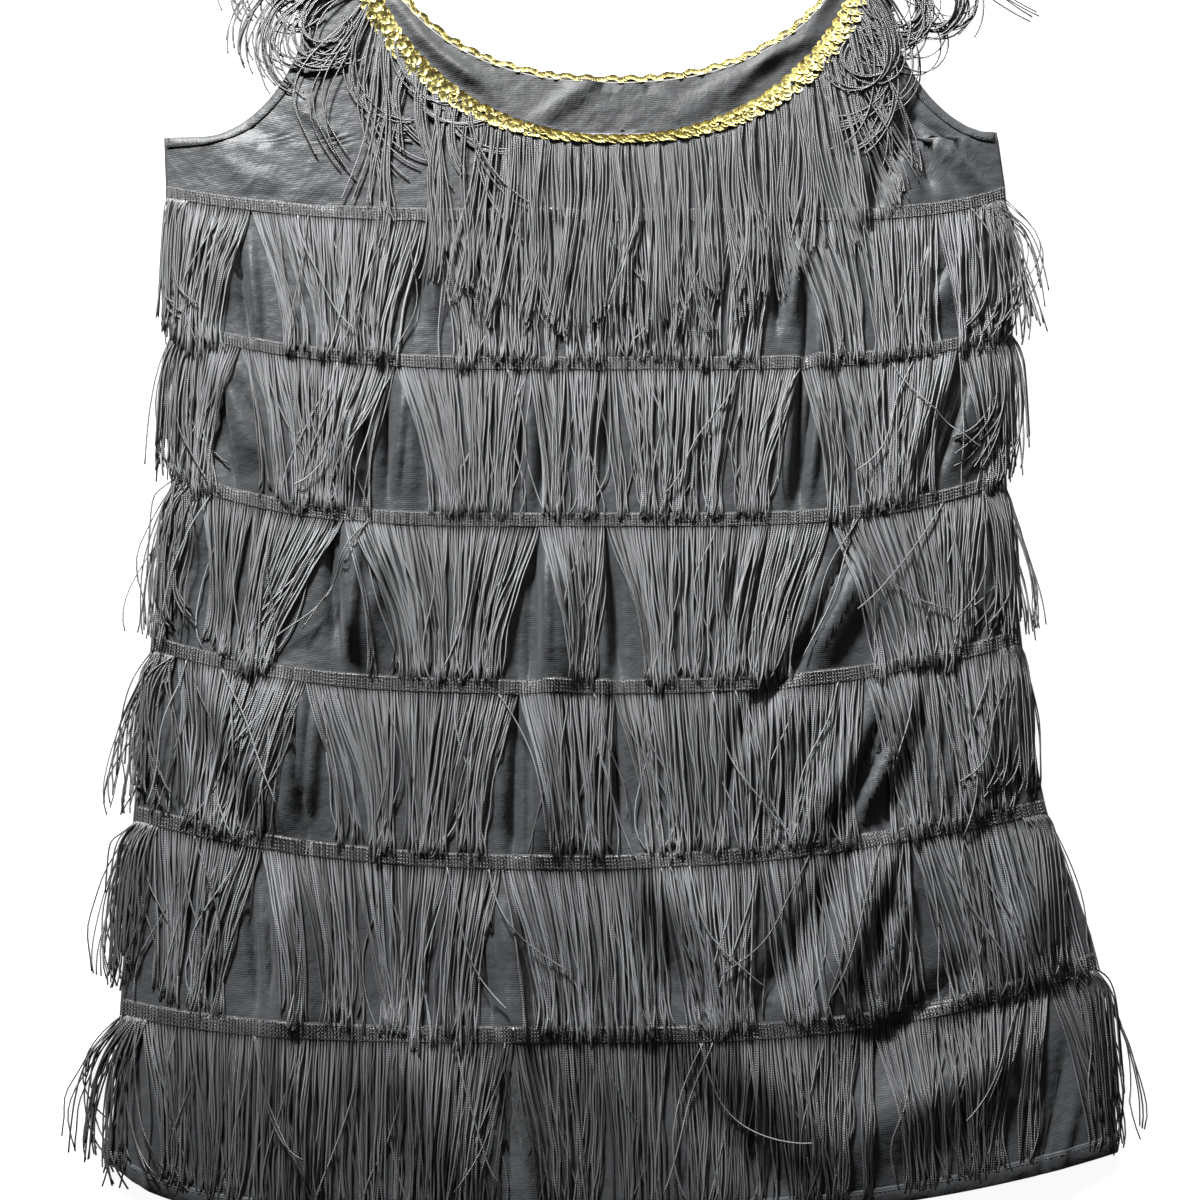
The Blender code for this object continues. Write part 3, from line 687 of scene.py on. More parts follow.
def make_back_panel(material, inside):
    """The back with a flat underside; its dull inside is creased where the neck opening shows it."""
    panel = panel_table(BACK_NECK, BACK_HALF_COLUMNS, BACK_ROWS_IN_TIER)
    creases = fold_sum(BACK_CREASES, panel.points)
    heights = KNIT + np.maximum(creases, 0.0)
    bm = panel_grid(panel, heights)
    bmesh.ops.recalc_face_normals(bm, faces=bm.faces[:])
    underside = bm.verts[:]
    bmesh.ops.extrude_face_region(bm, geom=bm.faces[:])
    for vert in underside:
        vert.co.z = 0.0
    bmesh.ops.recalc_face_normals(bm, faces=bm.faces[:])
    for face in bm.faces:
        face.material_index = int(face.normal.z > 0.3)
    mesh = mesh_of(bm, "back_knit")
    piece = finish_piece("back_knit", mesh, material, "knit", "back_panel")
    mesh.materials.append(inside)
    return piece


def tree_of(piece):
    """A piece as it shows, for rays to find its top."""
    return BVHTree.FromObject(piece, bpy.context.evaluated_depsgraph_get())


def strand_rings(lines, radius, sides):
    """Ring points of round strands along their centre lines."""
    run = np.gradient(lines, axis=1)
    run /= np.maximum(np.linalg.norm(run, axis=-1, keepdims=True), 1e-9)
    sideways = np.cross(run, (0.0, 0.0, 1.0))
    sideways /= np.maximum(np.linalg.norm(sideways, axis=-1, keepdims=True), 1e-9)
    upward = np.cross(sideways, run)
    angles = 2 * math.pi * (np.arange(sides) + 0.25) / sides
    rings = lines[:, :, None, :] + radius[..., None, None] * (
        np.cos(angles)[:, None] * sideways[:, :, None, :] + np.sin(angles)[:, None] * upward[:, :, None, :]
    )
    return rings


def mark(mesh, name, values):
    """Number at each vertex of a mesh, for its material."""
    mesh.attributes.new(name, "FLOAT", "POINT").data.foreach_set("value", values)


def strand_mesh(name, lines, radius, rng, sides=3, shade=1.0):
    """Joined mesh of many strands, from an array of centre lines: strands, points along, x y z."""
    strands, steps = lines.shape[:2]
    thickness = np.broadcast_to(radius, (strands, steps))
    rings = strand_rings(lines, thickness, sides)
    index = np.arange(strands * steps * sides).reshape(strands, steps, sides)
    start = index[:, :-1, :]
    end = index[:, 1:, :]
    walls = np.stack((start, end, np.roll(end, -1, axis=2), np.roll(start, -1, axis=2)), axis=-1)
    caps = np.concatenate((index[:, 0, :], index[:, -1, ::-1]))
    mesh = bpy.data.meshes.new(name)
    mesh.vertices.add(rings.size // 3)
    mesh.vertices.foreach_set("co", rings.ravel())
    loops = np.concatenate((walls.ravel(), caps.ravel()))
    sizes = np.concatenate((np.full(walls.size // 4, 4), np.full(caps.size // sides, sides)))
    mesh.loops.add(len(loops))
    mesh.loops.foreach_set("vertex_index", loops)
    mesh.polygons.add(len(sizes))
    mesh.polygons.foreach_set("loop_start", np.concatenate(([0], np.cumsum(sizes)[:-1])))
    mesh.polygons.foreach_set("loop_total", sizes)
    mesh.update(calc_edges=True)
    # Random tone of each strand times its shade, which is painted shade for some strands
    mark(mesh, "tone_and_shade", np.repeat(rng.uniform(0, 1, strands) * shade, steps * sides))
    lengths = np.linalg.norm(np.diff(lines, axis=1), axis=-1)
    reached = np.concatenate((np.zeros((strands, 1)), np.cumsum(lengths, axis=1)), axis=1)
    mark(mesh, "reached", np.repeat(reached.ravel(), sides))
    return mesh


class HeightMap:
    """Heights of what already lies on the floor, on a fine grid, so that strands can be laid over it."""

    def __init__(self, step):
        self.step = step
        self.start = np.array(MAP_START)
        self.counts = (int(MAP_SIZE[0] / step), int(MAP_SIZE[1] / step))
        self.values = np.zeros(self.counts)

    def add_piece(self, piece):
        """Raises the map to the top of a piece."""
        tree = tree_of(piece)
        down = Vector((0, 0, -1))
        for i in range(self.counts[0]):
            for j in range(self.counts[1]):
                spot = Vector((self.start[0] + i * self.step, self.start[1] + j * self.step, RAY_HEIGHT))
                hit = tree.ray_cast(spot, down)[0]
                if hit is not None:
                    self.values[i, j] = max(self.values[i, j], hit.z)

    def add_lines(self, lines, radius):
        """Marks the strands of a layer, at points close together along them."""
        dense = [mix(lines[:, :-1], lines[:, 1:], share) for share in (0.0, 0.25, 0.5, 0.75)]
        points = np.concatenate(dense, axis=1).reshape(-1, 3)
        cells = np.rint((points[:, :2] - self.start) / self.step).astype(int)
        inside = np.all((cells >= 0) & (cells < self.counts), axis=1)
        np.maximum.at(self.values, tuple(cells[inside].T), points[inside, 2] + radius)

    def soften(self):
        """Rounds the steps of the map, as cloth and yarn bridge what they lie on."""
        padded = np.pad(self.values, 1, mode="edge")
        near = (padded[:-2, 1:-1] + padded[2:, 1:-1] + padded[1:-1, :-2] + padded[1:-1, 2:]) / 4
        self.values = np.maximum(mix(self.values, near, 0.5), near)

    def read(self, x, y):
        """Heights at plan places, between those of the four nearest points of the grid."""
        i = np.clip((x - self.start[0]) / self.step, 0, self.counts[0] - 1.001)
        j = np.clip((y - self.start[1]) / self.step, 0, self.counts[1] - 1.001)
        low_i = i.astype(int)
        low_j = j.astype(int)
        a = mix(self.values[low_i, low_j], self.values[low_i + 1, low_j], i - low_i)
        b = mix(self.values[low_i, low_j + 1], self.values[low_i + 1, low_j + 1], i - low_i)
        return mix(a, b, j - low_j)


def lean(row, x):
    """Sideways shift of the strands' tips, away from the partings of their row."""
    shift = np.zeros_like(x)
    for parting in PARTINGS:
        if parting.row == row:
            distance = x / MM - parting.x
            push = LEAN * parting.spread * np.exp(-((distance / (LEAN_REACH * parting.reach)) ** 2))
            shift += np.where(distance < 0, -push, push)
    return shift * MM


def waves(shares, count, turns, size, rng):
    """Slow sideways wander of single strands."""
    phase = rng.uniform(0, 2 * math.pi, (count, 1))
    speed = rng.uniform(0.6, 1.4, (count, 1)) * turns * 2 * math.pi
    reach = rng.uniform(0.2, 1.0, (count, 1)) * size
    return reach * (np.sin(phase + speed * shares) - np.sin(phase)) * shares**0.5


def lay(plan, ground, layer, radius):
    """Lifts plan lines onto the height map, each at its own layer."""
    rest = ground.read(plan[..., 0], plan[..., 1])
    eased = rest.copy()
    eased[:, 1:-1] = np.maximum(rest[:, 1:-1], (rest[:, :-2] + rest[:, 2:]) / 2)
    return at_height(plan, eased + radius + layer)


def tape_line(row, share, across):
    """Points along a tape, at a share of its depth; rows are closer together near the first one."""
    return on_front(row + (FIRST_TAPE_SHARE if row == 1 else TAPE_SHARE) * share, across)


def tape_part(row, across):
    """Strands where they are woven into the tape two by two, in and out of its cords."""
    pairs = across.reshape(-1, 2)
    across = mix(pairs, pairs.mean(axis=1, keepdims=True), 0.5).ravel()
    lines = []
    for step in range(TAPE_STEPS):
        share = step / (TAPE_STEPS - 1)
        points = tape_line(row, share, across)
        weave = WEAVE_DEPTH * (1 if step % 2 else -1)
        points[:, 2] += TAPE_CLOTH + WEAVE_LIFT + weave
        lines.append(points)
    return np.stack(lines, axis=1)


def bunches(x, width, rng):
    """Number of the bunch that each strand belongs to; bunches are of uneven width."""
    count = int((x.max() - x.min()) / width) + 3
    cuts = x.min() - width + np.cumsum(rng.uniform(0.4, 1.6, count) * width)
    return np.searchsorted(cuts, x)


def gather(x, bunch, bunching, rng):
    """Shift that pulls the strands of each bunch together."""
    count = bunch.max() + 1
    centres = np.array([x[bunch == k].mean() if np.any(bunch == k) else 0.0 for k in range(count)])
    return (centres[bunch] - x) * rng.uniform(bunching.least, bunching.most, count)[bunch]


def each_bunch(bunch, low, high, rng):
    """One random number for each bunch, given to all its strands."""
    return rng.uniform(low, high, bunch.max() + 1)[bunch]


def row_strands(row, ground, rng):
    """Centre lines of a row's strands: woven in the tape, then hanging in bunches to their tips."""
    across = np.linspace(-0.995, 0.995, ROW_STRANDS)
    across += rng.uniform(-0.3, 0.3, ROW_STRANDS) * (across[1] - across[0])
    woven = tape_part(row, across)
    root = woven[:, -1]
    shares = np.append(np.linspace(0, 1, FREE_STEPS)[1:], CUT_END)
    below = body_line(min(row + 1, ROWS + 1), across)
    drift = (below[:, 0] - root[:, 0]) * mix(0.5, 1.0, np.abs(across) ** 6)
    wide = bunches(root[:, 0], WIDE_BUNCH.width, rng)
    middle = bunches(root[:, 0], MIDDLE_BUNCH.width, rng)
    narrow = bunches(root[:, 0], NARROW_BUNCH.width, rng)

    # Length of each strand: the lowest row ends above the hem
    long = each_bunch(middle, 0, 1, rng) < LONG_BUNCHES
    length = FRINGE_LENGTH * (1 + rng.normal(0, 0.015, ROW_STRANDS) + each_bunch(narrow, -0.03, 0.03, rng))
    length += long * rng.uniform(2, 9, ROW_STRANDS) * MM
    if row == ROWS:
        length = np.minimum(length, root[:, 1] - below[:, 1] - rng.uniform(1, 7, ROW_STRANDS) * MM)

    # Sideways shape: with the body, away from the partings, into bunches, and wavy
    x = root[:, 0, None] + drift[:, None] * shares
    swing = np.sin(shares * math.pi / 2) ** 1.2
    x = x + lean(row, root[:, 0])[:, None] * swing
    x = x + gather(root[:, 0], wide, WIDE_BUNCH, rng)[:, None] * swing * shares**0.3
    x = x + gather(root[:, 0], middle, MIDDLE_BUNCH, rng)[:, None] * shares**1.3
    x = x + gather(root[:, 0], narrow, NARROW_BUNCH, rng)[:, None] * np.sin(shares * math.pi * 0.9)
    sway = each_bunch(narrow, 0, 2 * math.pi, rng)[:, None]
    swayed = each_bunch(narrow, 0.3, 2.2, rng)[:, None] * MM
    x = x + swayed * (np.sin(sway + 3.5 * shares) - np.sin(sway)) * shares
    x = x + waves(shares, ROW_STRANDS, 0.6, 1.6 * MM, rng) + waves(shares, ROW_STRANDS, 2.2, 0.8 * MM, rng)
    stray = (rng.uniform(0, 1, ROW_STRANDS) < STRAY_STRANDS)[:, None]
    x = x + stray * waves(shares, ROW_STRANDS, 0.7, STRAY_REACH, rng)

    # The way down, with curled tips, and the outermost strands over the side seams
    y = root[:, 1, None] - length[:, None] * shares
    x, y = swing_sides(row, across, x, y, shares, rng)
    curl = np.clip((shares - TIP_START) / (1 - TIP_START), 0, 1)
    x = x + curl * rng.normal(0, 1.0 * MM, (ROW_STRANDS, 1))
    y = y + curl * rng.uniform(0, 2.0 * MM, (ROW_STRANDS, 1))

    # Height over what lies below: bunches lift off the tape and rest at their tips
    height = each_bunch(narrow, 0, 2.2, rng) * MM + rng.uniform(0, 0.9 * MM, ROW_STRANDS)
    resting = 1 - 0.92 * shares**3
    layer = height[:, None] * np.minimum(1, shares * 4) * resting
    layer = layer + waves(shares, ROW_STRANDS, 1.0, 0.5 * MM, rng)
    free = lay(np.stack((x, y), axis=-1), ground, np.maximum(layer, 0.1 * MM), STRAND_RADIUS)
    return np.concatenate((woven, free), axis=1)


def loose_strands(row, ground, rng):
    """Single strands that lie across their neighbours."""
    across = rng.uniform(-0.95, 0.95, LOOSE_STRANDS)
    root = tape_line(row, 1.0, across)[:, :2]
    headings = rng.choice((-1, 1), LOOSE_STRANDS) * rng.uniform(0.15, 0.5, LOOSE_STRANDS)
    bends = bends_like(np.arange(LOOSE_STRANDS), rng, turn=0.3, curl=0.5, wobble=0.25)
    lengths = rng.uniform(0.8, 1.0, LOOSE_STRANDS) * FRINGE_LENGTH
    plan = wander(root, headings, lengths, bends, ALL_STEPS)
    along = np.linspace(0, 1, ALL_STEPS)
    return lay(plan, ground, LOOSE_LIFT * np.minimum(1, along * 4), STRAND_RADIUS)


def side_tufts(row, ground, rng):
    """Strands at the side seams that curl out over the edge and lie on the floor."""
    reach = SIDE_REACH[row - 1]
    lines = []
    for side, most in ((-1, reach.left), (1, reach.right)):
        across = side * rng.uniform(1 - SIDE_SHARE, 0.995, SIDE_STRANDS)
        root = tape_line(row, 1.0, across)[:, :2]
        bunch = np.arange(SIDE_STRANDS) // TUFT_STRANDS
        headings = side * (each_bunch(bunch, 0.1, 1.0, rng) + rng.normal(0, 0.08, SIDE_STRANDS))
        bends = bends_like(bunch, rng, turn=0.35, curl=0.5, wobble=0.3)
        bends[:, 0] -= side * 0.5
        lengths = rng.uniform(0.85, 1.05, SIDE_STRANDS) * FRINGE_LENGTH
        plan = wander(root, headings, lengths, bends, ALL_STEPS)
        edge = root[:, 0, None] - side * 2 * MM
        over = side * (plan[..., 0] - edge)
        most_over = most * MM * rng.uniform(0.5, 1.0, (SIDE_STRANDS, 1))
        plan[..., 0] = edge + side * np.where(over > 0, most_over * np.tanh(over / most_over), over)
        along = np.linspace(0, 1, ALL_STEPS)
        layer = rng.uniform(0.5, 4.0, (SIDE_STRANDS, 1)) * MM * np.minimum(1, along * 4)
        lines.append(lay(plan, ground, layer, STRAND_RADIUS))
    return np.concatenate(lines)


def swing_sides(row, across, x, y, shares, rng):
    """Turns the outermost strands of a row out over the side seams."""
    reach = SIDE_REACH[row - 1]
    for side, most in ((-1, reach.left), (1, reach.right)):
        outer = np.clip((side * across - 1 + SIDE_SHARE) / SIDE_SHARE, 0, 1)[:, None]
        far = most * MM * rng.uniform(0.3, 0.9, (len(across), 1))
        bow = np.sin(shares * math.pi * rng.uniform(0.5, 1.3, (len(across), 1)))
        x = x + side * outer * far * np.maximum(bow, 0) ** 0.8
        y = y + outer * rng.uniform(0, 10 * MM, (len(across), 1)) * shares
    return x, y


def make_row(row, yarn, ground, rng):
    """A fringe tape's cords and strands; the strands' lines are given back for what lies on them."""
    parts = [row_strands(row, ground, rng), side_tufts(row, ground, rng), loose_strands(row, ground, rng)]
    lines = np.concatenate(parts)
    ground.add_lines(lines[:ROW_STRANDS, : TAPE_STEPS + 2], STRAND_RADIUS)
    tufts = slice(ROW_STRANDS, ROW_STRANDS + 2 * SIDE_STRANDS)
    radius = np.full(lines.shape[:2], STRAND_RADIUS)
    radius[:ROW_STRANDS, :TAPE_STEPS] = BAR_RADIUS
    radius[tufts] = LOOP_RADIUS
    radius[:, -1] *= TIP_TAPER
    # Painted shade: the lowest row's strands are darker, for the light falling off towards the hem
    shade = np.full(len(lines), LOWEST_ROW_PAINTED_SHADE if row == ROWS else 1.0)
    # Painted shade: the side tufts over the edges are darker
    shade[tufts] = EDGE_AND_CORD_PAINTED_SHADE
    mesh = strand_mesh(f"fringe_{row}", lines, radius, rng, shade=shade)
    finish_piece(f"fringe_{row}", mesh, yarn, "fringe", f"fringe_row_{row}")
    across = np.linspace(-1, 1, CORD_POINTS)
    cords = []
    for cord in range(TAPE_CORDS):
        share = cord / (TAPE_CORDS - 1)
        points = tape_line(row, share, across)
        points[:, 2] += TAPE_CLOTH + CORD_LIFT
        points[:, 1] += rng.normal(0, CORD_WOBBLE, len(across))
        cords.append(points)
    # Painted shade: the cords are darker, for the shade between the woven bars
    mesh = strand_mesh(f"tape_cords_{row}", np.array(cords), CORD_RADIUS, rng, sides=4, shade=EDGE_AND_CORD_PAINTED_SHADE)
    finish_piece(f"tape_cords_{row}", mesh, yarn, "fringe")
    return lines


def make_tape(row, weave):
    """The thin woven strip under a row's cords, made from the panel's points."""
    across = np.linspace(-1, 1, TAPE_POINTS)
    lines = []
    for share in (1.04, 0.5, -0.04):
        points = tape_line(row, share, across)
        points[:, 2] += TAPE_CLOTH * 0.5
        lines.append(points)
    return band(f"tape_{row}", lines, TAPE_CLOTH, weave, "fringe")


def band(name, lines, thick, material, slot):
    """Thin strip of cloth through lines of points, each line a row of its grid."""
    columns = len(lines[0])
    bm = bmesh.new()
    bmesh.ops.create_grid(bm, x_segments=columns - 1, y_segments=len(lines) - 1, size=1.0)
    for vert in bm.verts:
        column = round((vert.co.x + 1) / 2 * (columns - 1))
        line = round((vert.co.y + 1) / 2 * (len(lines) - 1))
        vert.co = lines[line][column]
    bmesh.ops.recalc_face_normals(bm, faces=bm.faces[:])
    if sum(face.normal.z for face in bm.faces) < 0:
        bmesh.ops.reverse_faces(bm, faces=bm.faces[:])
    piece = finish_piece(name, mesh_of(bm, name), material, slot)
    wall = piece.modifiers.new("wall", "SOLIDIFY")
    wall.thickness = thick
    wall.offset = 1.0
    return piece


def over_cloth(tree, plan, lift):
    """Points on top of a piece of cloth, for plan points that lie over it."""
    points = []
    for x, y in plan:
        hit = tree.ray_cast(Vector((x, y, RAY_HEIGHT)), Vector((0, 0, -1)))[0]
        points.append((x, y, (hit.z if hit is not None else CLOTH) + lift))
    return np.array(points)


def make_turned_edge(hem_name, stitch_name, lines, stitches, knit, thread, rng):
    """A strip of turned cloth through lines of points, and the thread that holds it."""
    band(hem_name, lines, HEM_CLOTH, knit, "knit")
    mesh = strand_mesh(stitch_name, stitches[None], STITCH_RADIUS, rng)
    finish_piece(stitch_name, mesh, thread, "knit")


def make_armhole_hems(front, knit, thread, rng):
    """Turned edges of the armholes, with the zigzag stitches that hold them."""
    tree = tree_of(front)
    width = HEM_WIDTH / MM
    for name, armhole, side in ARMHOLES:
        path = armhole_path(armhole)
        here, out = neck_frames(path, np.linspace(0.01, 0.99, ARMHOLE_POINTS))
        inward = -out * side
        lines = []
        for step, lift in ((0.25, 0.0), (0.8, HEM_ROUND), (width - 0.6, HEM_ROUND), (width, 0.0)):
            lines.append(over_cloth(tree, here + inward * step * MM, lift * MM))
        length = np.linalg.norm(np.diff(path, axis=0), axis=1).sum()
        count = 2 * int(length / STITCH_PITCH)
        here, out = neck_frames(path, np.linspace(0.01, 0.98, count))
        zigzag = np.where(np.arange(count) % 2, 4.3, 6.2)[:, None] * MM
        stitches = over_cloth(tree, here - out * side * zigzag, HEM_CLOTH + 0.45 * MM)
        names = (f"armhole_hem_{name}", f"armhole_stitches_{name}")
        make_turned_edge(*names, lines, stitches, knit, thread, rng)


def make_bottom_hem(knit, thread, rng):
    """The turned edge at the bottom of the front, with its line of stitches."""
    across = np.linspace(-0.998, 0.998, HEM_POINTS)
    lines = []
    for row, lift in ((6.998, 0.0), (6.99, HEM_ROUND), (6.87, HEM_ROUND), (6.86, 0.0)):
        points = on_front(row, across)
        points[:, 2] += lift * MM
        lines.append(points)
    stitches = on_front(6.885, np.linspace(-0.995, 0.995, HEM_STITCHES))
    stitches[:, 2] += HEM_CLOTH + np.where(np.arange(HEM_STITCHES) % 2, 0.5, 0.2) * MM
    make_turned_edge("bottom_hem", "bottom_stitches", lines, stitches, knit, thread, rng)


def neck_edge(neck):
    """Plan points of a neckline, from the left shoulder down and up to the right one."""
    left = neck_half_path(neck, -1, 0.0)
    right = neck_half_path(neck, 1, 0.0)
    return np.concatenate((left[::-1], right[1:]))


def neck_frames(path, shares):
    """Points on a neckline and the directions that point out of the opening there."""
    here = along_path(path, shares)
    run = along_path(path, np.minimum(1, shares + 0.004)) - along_path(path, np.maximum(0, shares - 0.004))
    run /= np.linalg.norm(run, axis=-1, keepdims=True)
    return here, np.stack((run[:, 1], -run[:, 0]), axis=-1)


def wander(starts, headings, lengths, bends, steps):
    """Plan lines of loose strands: heading 0 points to the hem, and bends change it along the way."""
    shares = np.linspace(0, 1, steps)
    angle = headings[:, None] + bends[:, 0, None] * shares + bends[:, 1, None] * shares**2
    wobble = np.sin(2 * math.pi * (bends[:, 3, None] * shares + bends[:, 4, None]))
    angle = angle + bends[:, 2, None] * wobble
    move = np.stack((np.sin(angle), -np.cos(angle)), axis=-1) * (lengths[:, None, None] / (steps - 2))
    move[:, -2] *= (CUT_END - 1) * steps
    moved = np.concatenate((np.zeros_like(move[:, :1]), np.cumsum(move[:, :-1], axis=1)), 1)
    return starts[:, None, :] + moved


def bends_like(bunch, rng, turn, curl, wobble):
    """Bend numbers for wander, alike within a bunch: a steady turn, a curl at the end and a wobble."""
    own = 0.15
    columns = []
    for size in (turn, curl):
        shared = rng.normal(0, size, bunch.max() + 1)[bunch]
        columns.append(shared + rng.normal(0, own * size, len(bunch)))
    columns.append(each_bunch(bunch, 0, wobble, rng))
    columns.append(each_bunch(bunch, 0.5, 1.6, rng))
    columns.append(each_bunch(bunch, 0, 1, rng) + rng.normal(0, 0.03, len(bunch)))
    return np.stack(columns, axis=-1)


def neck_strands(path, ground, rng):
    """Strands under the front trim, straight below the neckline and in loops off the straps."""
    even = np.linspace(-1, 1, NECK_STRANDS)
    shares = 0.5 + NECK_SHARE * mix(even, even**3, 0.12)
    here, out = neck_frames(path, shares)
    starts = here + out * 4 * MM
    side = np.sign(out[:, 0])
    strap = np.clip((here[:, 1] - STRAP_START) / STRAP_BLEND, 0, 1)
    up = np.clip((here[:, 1] - STRAP_START) / (SHOULDER_Y * MM - STRAP_START), 0, 1)
    slope = np.clip((here[:, 1] - SLOPE_START) / SLOPE_BLEND, 0, 1)

    # Where each strand heads, how long it is and how it bends
    place = np.concatenate(([0.0], np.cumsum(np.linalg.norm(np.diff(here, axis=0), axis=1))))
    tuft = bunches(place, NECK_TUFT, rng)
    swept = (each_bunch(tuft, 0, 1, rng) < SWEPT_TUFTS) & (side < 0)
    swept = swept & (here[:, 1] > SWEPT_FROM) & (here[:, 1] < SWEPT_TO)
    hang = side * (0.04 + 0.22 * slope * (side > 0))
    outward = np.where(side < 0, 1.45, 1.1)
    fall = side * (mix(0.85, outward, up) + each_bunch(tuft, -0.35, 0.35, rng))
    headings = mix(hang, fall, strap) + rng.normal(0, mix(0.02, 0.06, strap))
    lengths = mix(NECK_FRINGE_LENGTH, SHOULDER_FRINGE_LENGTH, strap) * rng.normal(1.0, 0.03, NECK_STRANDS)
    lengths = lengths * each_bunch(tuft, 0.88, 1.08, rng)
    calm = bends_like(tuft, rng, turn=0.06, curl=0.14, wobble=0.12)
    wild = bends_like(tuft, rng, turn=0.35, curl=0.8, wobble=0.35)
    wild[:, 1] -= side * each_bunch(tuft, 2.0, 7.0, rng) * np.where(side < 0, 0.8, 1.0)
    bends = mix(calm, wild, strap[:, None])
    headings = headings - each_bunch(tuft, 0.0, 0.5, rng) * swept
    bends[:, 0] += each_bunch(tuft, 0.9, 2.6, rng) * swept
    lengths = lengths * np.where(swept, each_bunch(tuft, 0.45, 0.8, rng), 1.0)
    plan = wander(starts, headings, lengths, bends, NECK_STEPS)
    along = np.linspace(0, 1, NECK_STEPS)

    # The curtain gathers in bunches that sway; loops and swept tufts keep their own way
    wide = bunches(place, NECK_WIDE_BUNCH.width, rng)
    narrow = bunches(place, NECK_NARROW_BUNCH.width, rng)
    loose = (1 - strap) * ~swept
    pull = gather(here[:, 0], wide, NECK_WIDE_BUNCH, rng) * loose
    plan[..., 0] += pull[:, None] * along**1.3
    pull = gather(here[:, 0], narrow, NECK_NARROW_BUNCH, rng) * loose
    plan[..., 0] += pull[:, None] * np.sin(along * math.pi * 0.85)
    sway = each_bunch(narrow, 0, 2 * math.pi, rng)[:, None]
    reach = (each_bunch(narrow, 0.4, 2.6, rng) * MM * loose)[:, None]
    plan[..., 0] += reach * (np.sin(sway + 7 * along) - np.sin(sway)) * along**0.5
    plan[..., 1] = np.minimum(plan[..., 1], FRINGE_TOP)

    # Height over what lies below
    height = each_bunch(narrow, 0, 2.4, rng) * MM + rng.uniform(0.2, mix(1.2, 3.0, strap)) * MM
    resting = 1 - 0.7 * along**3
    layer = height[:, None] * np.minimum(1, along * 4) * resting
    layer = layer + waves(along, NECK_STRANDS, 1.2, 0.6 * MM, rng)
    return lay(plan, ground, np.maximum(layer, 0.2 * MM), STRAND_RADIUS), strap


def sequin_mesh(name, centres, runs, sides, lifts, shade, squash, radius, rng):
    """Joined mesh of cupped discs with a hole, each lying along its run and tilted over the next."""
    angles = 2 * math.pi * np.arange(SEQUIN_SIDES) / SEQUIN_SIDES
    count = len(centres)
    rings = len(SEQUIN_RINGS)
    tilt = rng.normal(0.2, 0.07, count)
    roll = rng.normal(0, 0.1, count)
    ahead = runs * np.cos(tilt)[:, None]
    ahead[:, 2] += np.sin(tilt)
    sideways = sides * np.cos(roll)[:, None]
    sideways[:, 2] += np.sin(roll)
    up = np.cross(ahead, sideways)
    points = []
    for share, drop in SEQUIN_RINGS:
        ring = centres[:, None, :] + radius * share * (
            np.cos(angles)[:, None] * ahead[:, None, :]
            + (squash[:, None] * np.sin(angles))[..., None] * sideways[:, None, :]
        )
        ring = ring + up[:, None, :] * (drop * radius)
        points.append(ring)
    verts = np.concatenate(points, axis=1)
    verts[..., 2] += lifts[:, None]
    index = np.arange(count * SEQUIN_SIDES * rings).reshape(count, rings, SEQUIN_SIDES)
    start = index[:, :-1, :]
    end = index[:, 1:, :]
    faces = np.stack((start, np.roll(start, -1, axis=2), np.roll(end, -1, axis=2), end), axis=-1)
    mesh = bpy.data.meshes.new(name)
    mesh.from_pydata(verts.reshape(-1, 3).tolist(), [], faces.reshape(-1, 4).tolist())
    # Painted shade of each sequin, with a random tone added
    shade_and_tone = np.clip(shade + rng.normal(0, 0.12, count), 0, 1)
    mark(mesh, "tone_and_shade", np.repeat(shade_and_tone, SEQUIN_SIDES * rings))
    mark(mesh, "rim", np.tile(np.repeat((1.0, 0.0, 0.0, 1.0), SEQUIN_SIDES), count))
    return mesh


def trim_lines(path, count, ground, middle, half_width, phase, waist, lift):
    """Centres and directions of a braid of sequins that sways from side to side along a neckline."""
    shares = np.linspace(0.004, 0.996, count)
    here, out = neck_frames(path, shares)
    length = np.linalg.norm(np.diff(path, axis=0), axis=1).sum()
    uneven = 0.7 * np.sin(2 * math.pi * shares * 9.3) + 0.5 * np.sin(2 * math.pi * shares * 23.7)
    sway = np.sin(2 * math.pi * shares * length / BRAID_PITCH + uneven + phase)
    flat = np.clip(np.abs(out[:, 0]) * 1.6 - 0.1, 0, 1)
    reach = half_width * mix(waist, 1.0, flat)
    plan = here + out * (middle + reach * sway)[:, None]
    run = np.stack((out[:, 1], -out[:, 0]), axis=-1)
    centres = at_height(plan, ground.read(plan[:, 0], plan[:, 1]) + lift)
    level = np.zeros(count)
    # The fourth value is each sequin's painted shade: darker where the braid swings towards the neck edge,
    # paler where it swings away
    return centres, at_height(run, level), at_height(out, level), 0.62 + 0.3 * sway, flat


def neck_band(name, path, reach, material, slot, ground):
    """A narrow strip along a neckline: the fringe's tape, or the base that the sequins are sewn on."""
    here, out = neck_frames(path, np.linspace(0.004, 0.996, BRAID_POINTS))
    lines = []
    for distance in np.linspace(*reach, 4):
        plan = here + out * distance
        lines.append(at_height(plan, ground.read(plan[:, 0], plan[:, 1]) + 0.2 * MM))
    return band(name, lines, BRAID_THICK, material, slot)


def make_front_trim(path, gold, braid, ground, rng):
    """Two braids of overlapping sequins that cross each other, over a narrow base braid."""
    pieces = []
    count = int(FRONT_TRIM_LENGTH / SEQUIN_STEP)
    for number, phase in enumerate((0.0, math.pi)):
        lift = (1.5 + 0.5 * number) * MM
        centres, runs, sides, shade, flat = trim_lines(
            path, count, ground, middle=6.4 * MM, half_width=5.0 * MM, phase=phase, waist=0.3, lift=lift
        )
        lifts = rng.uniform(0, SEQUIN_LIFT, count)
        pieces.append((centres, runs, sides, lifts, shade, mix(0.5, 1.0, flat)))
    joined = [np.concatenate(parts) for parts in zip(*pieces)]
    mesh = sequin_mesh("front_sequins", *joined, SEQUIN_RADIUS, rng)
    neck_band("front_braid", path, (1.5 * MM, 9.5 * MM), braid, "sequins", ground)
    return finish_piece("front_sequins", mesh, gold, "sequins", "front_trim")


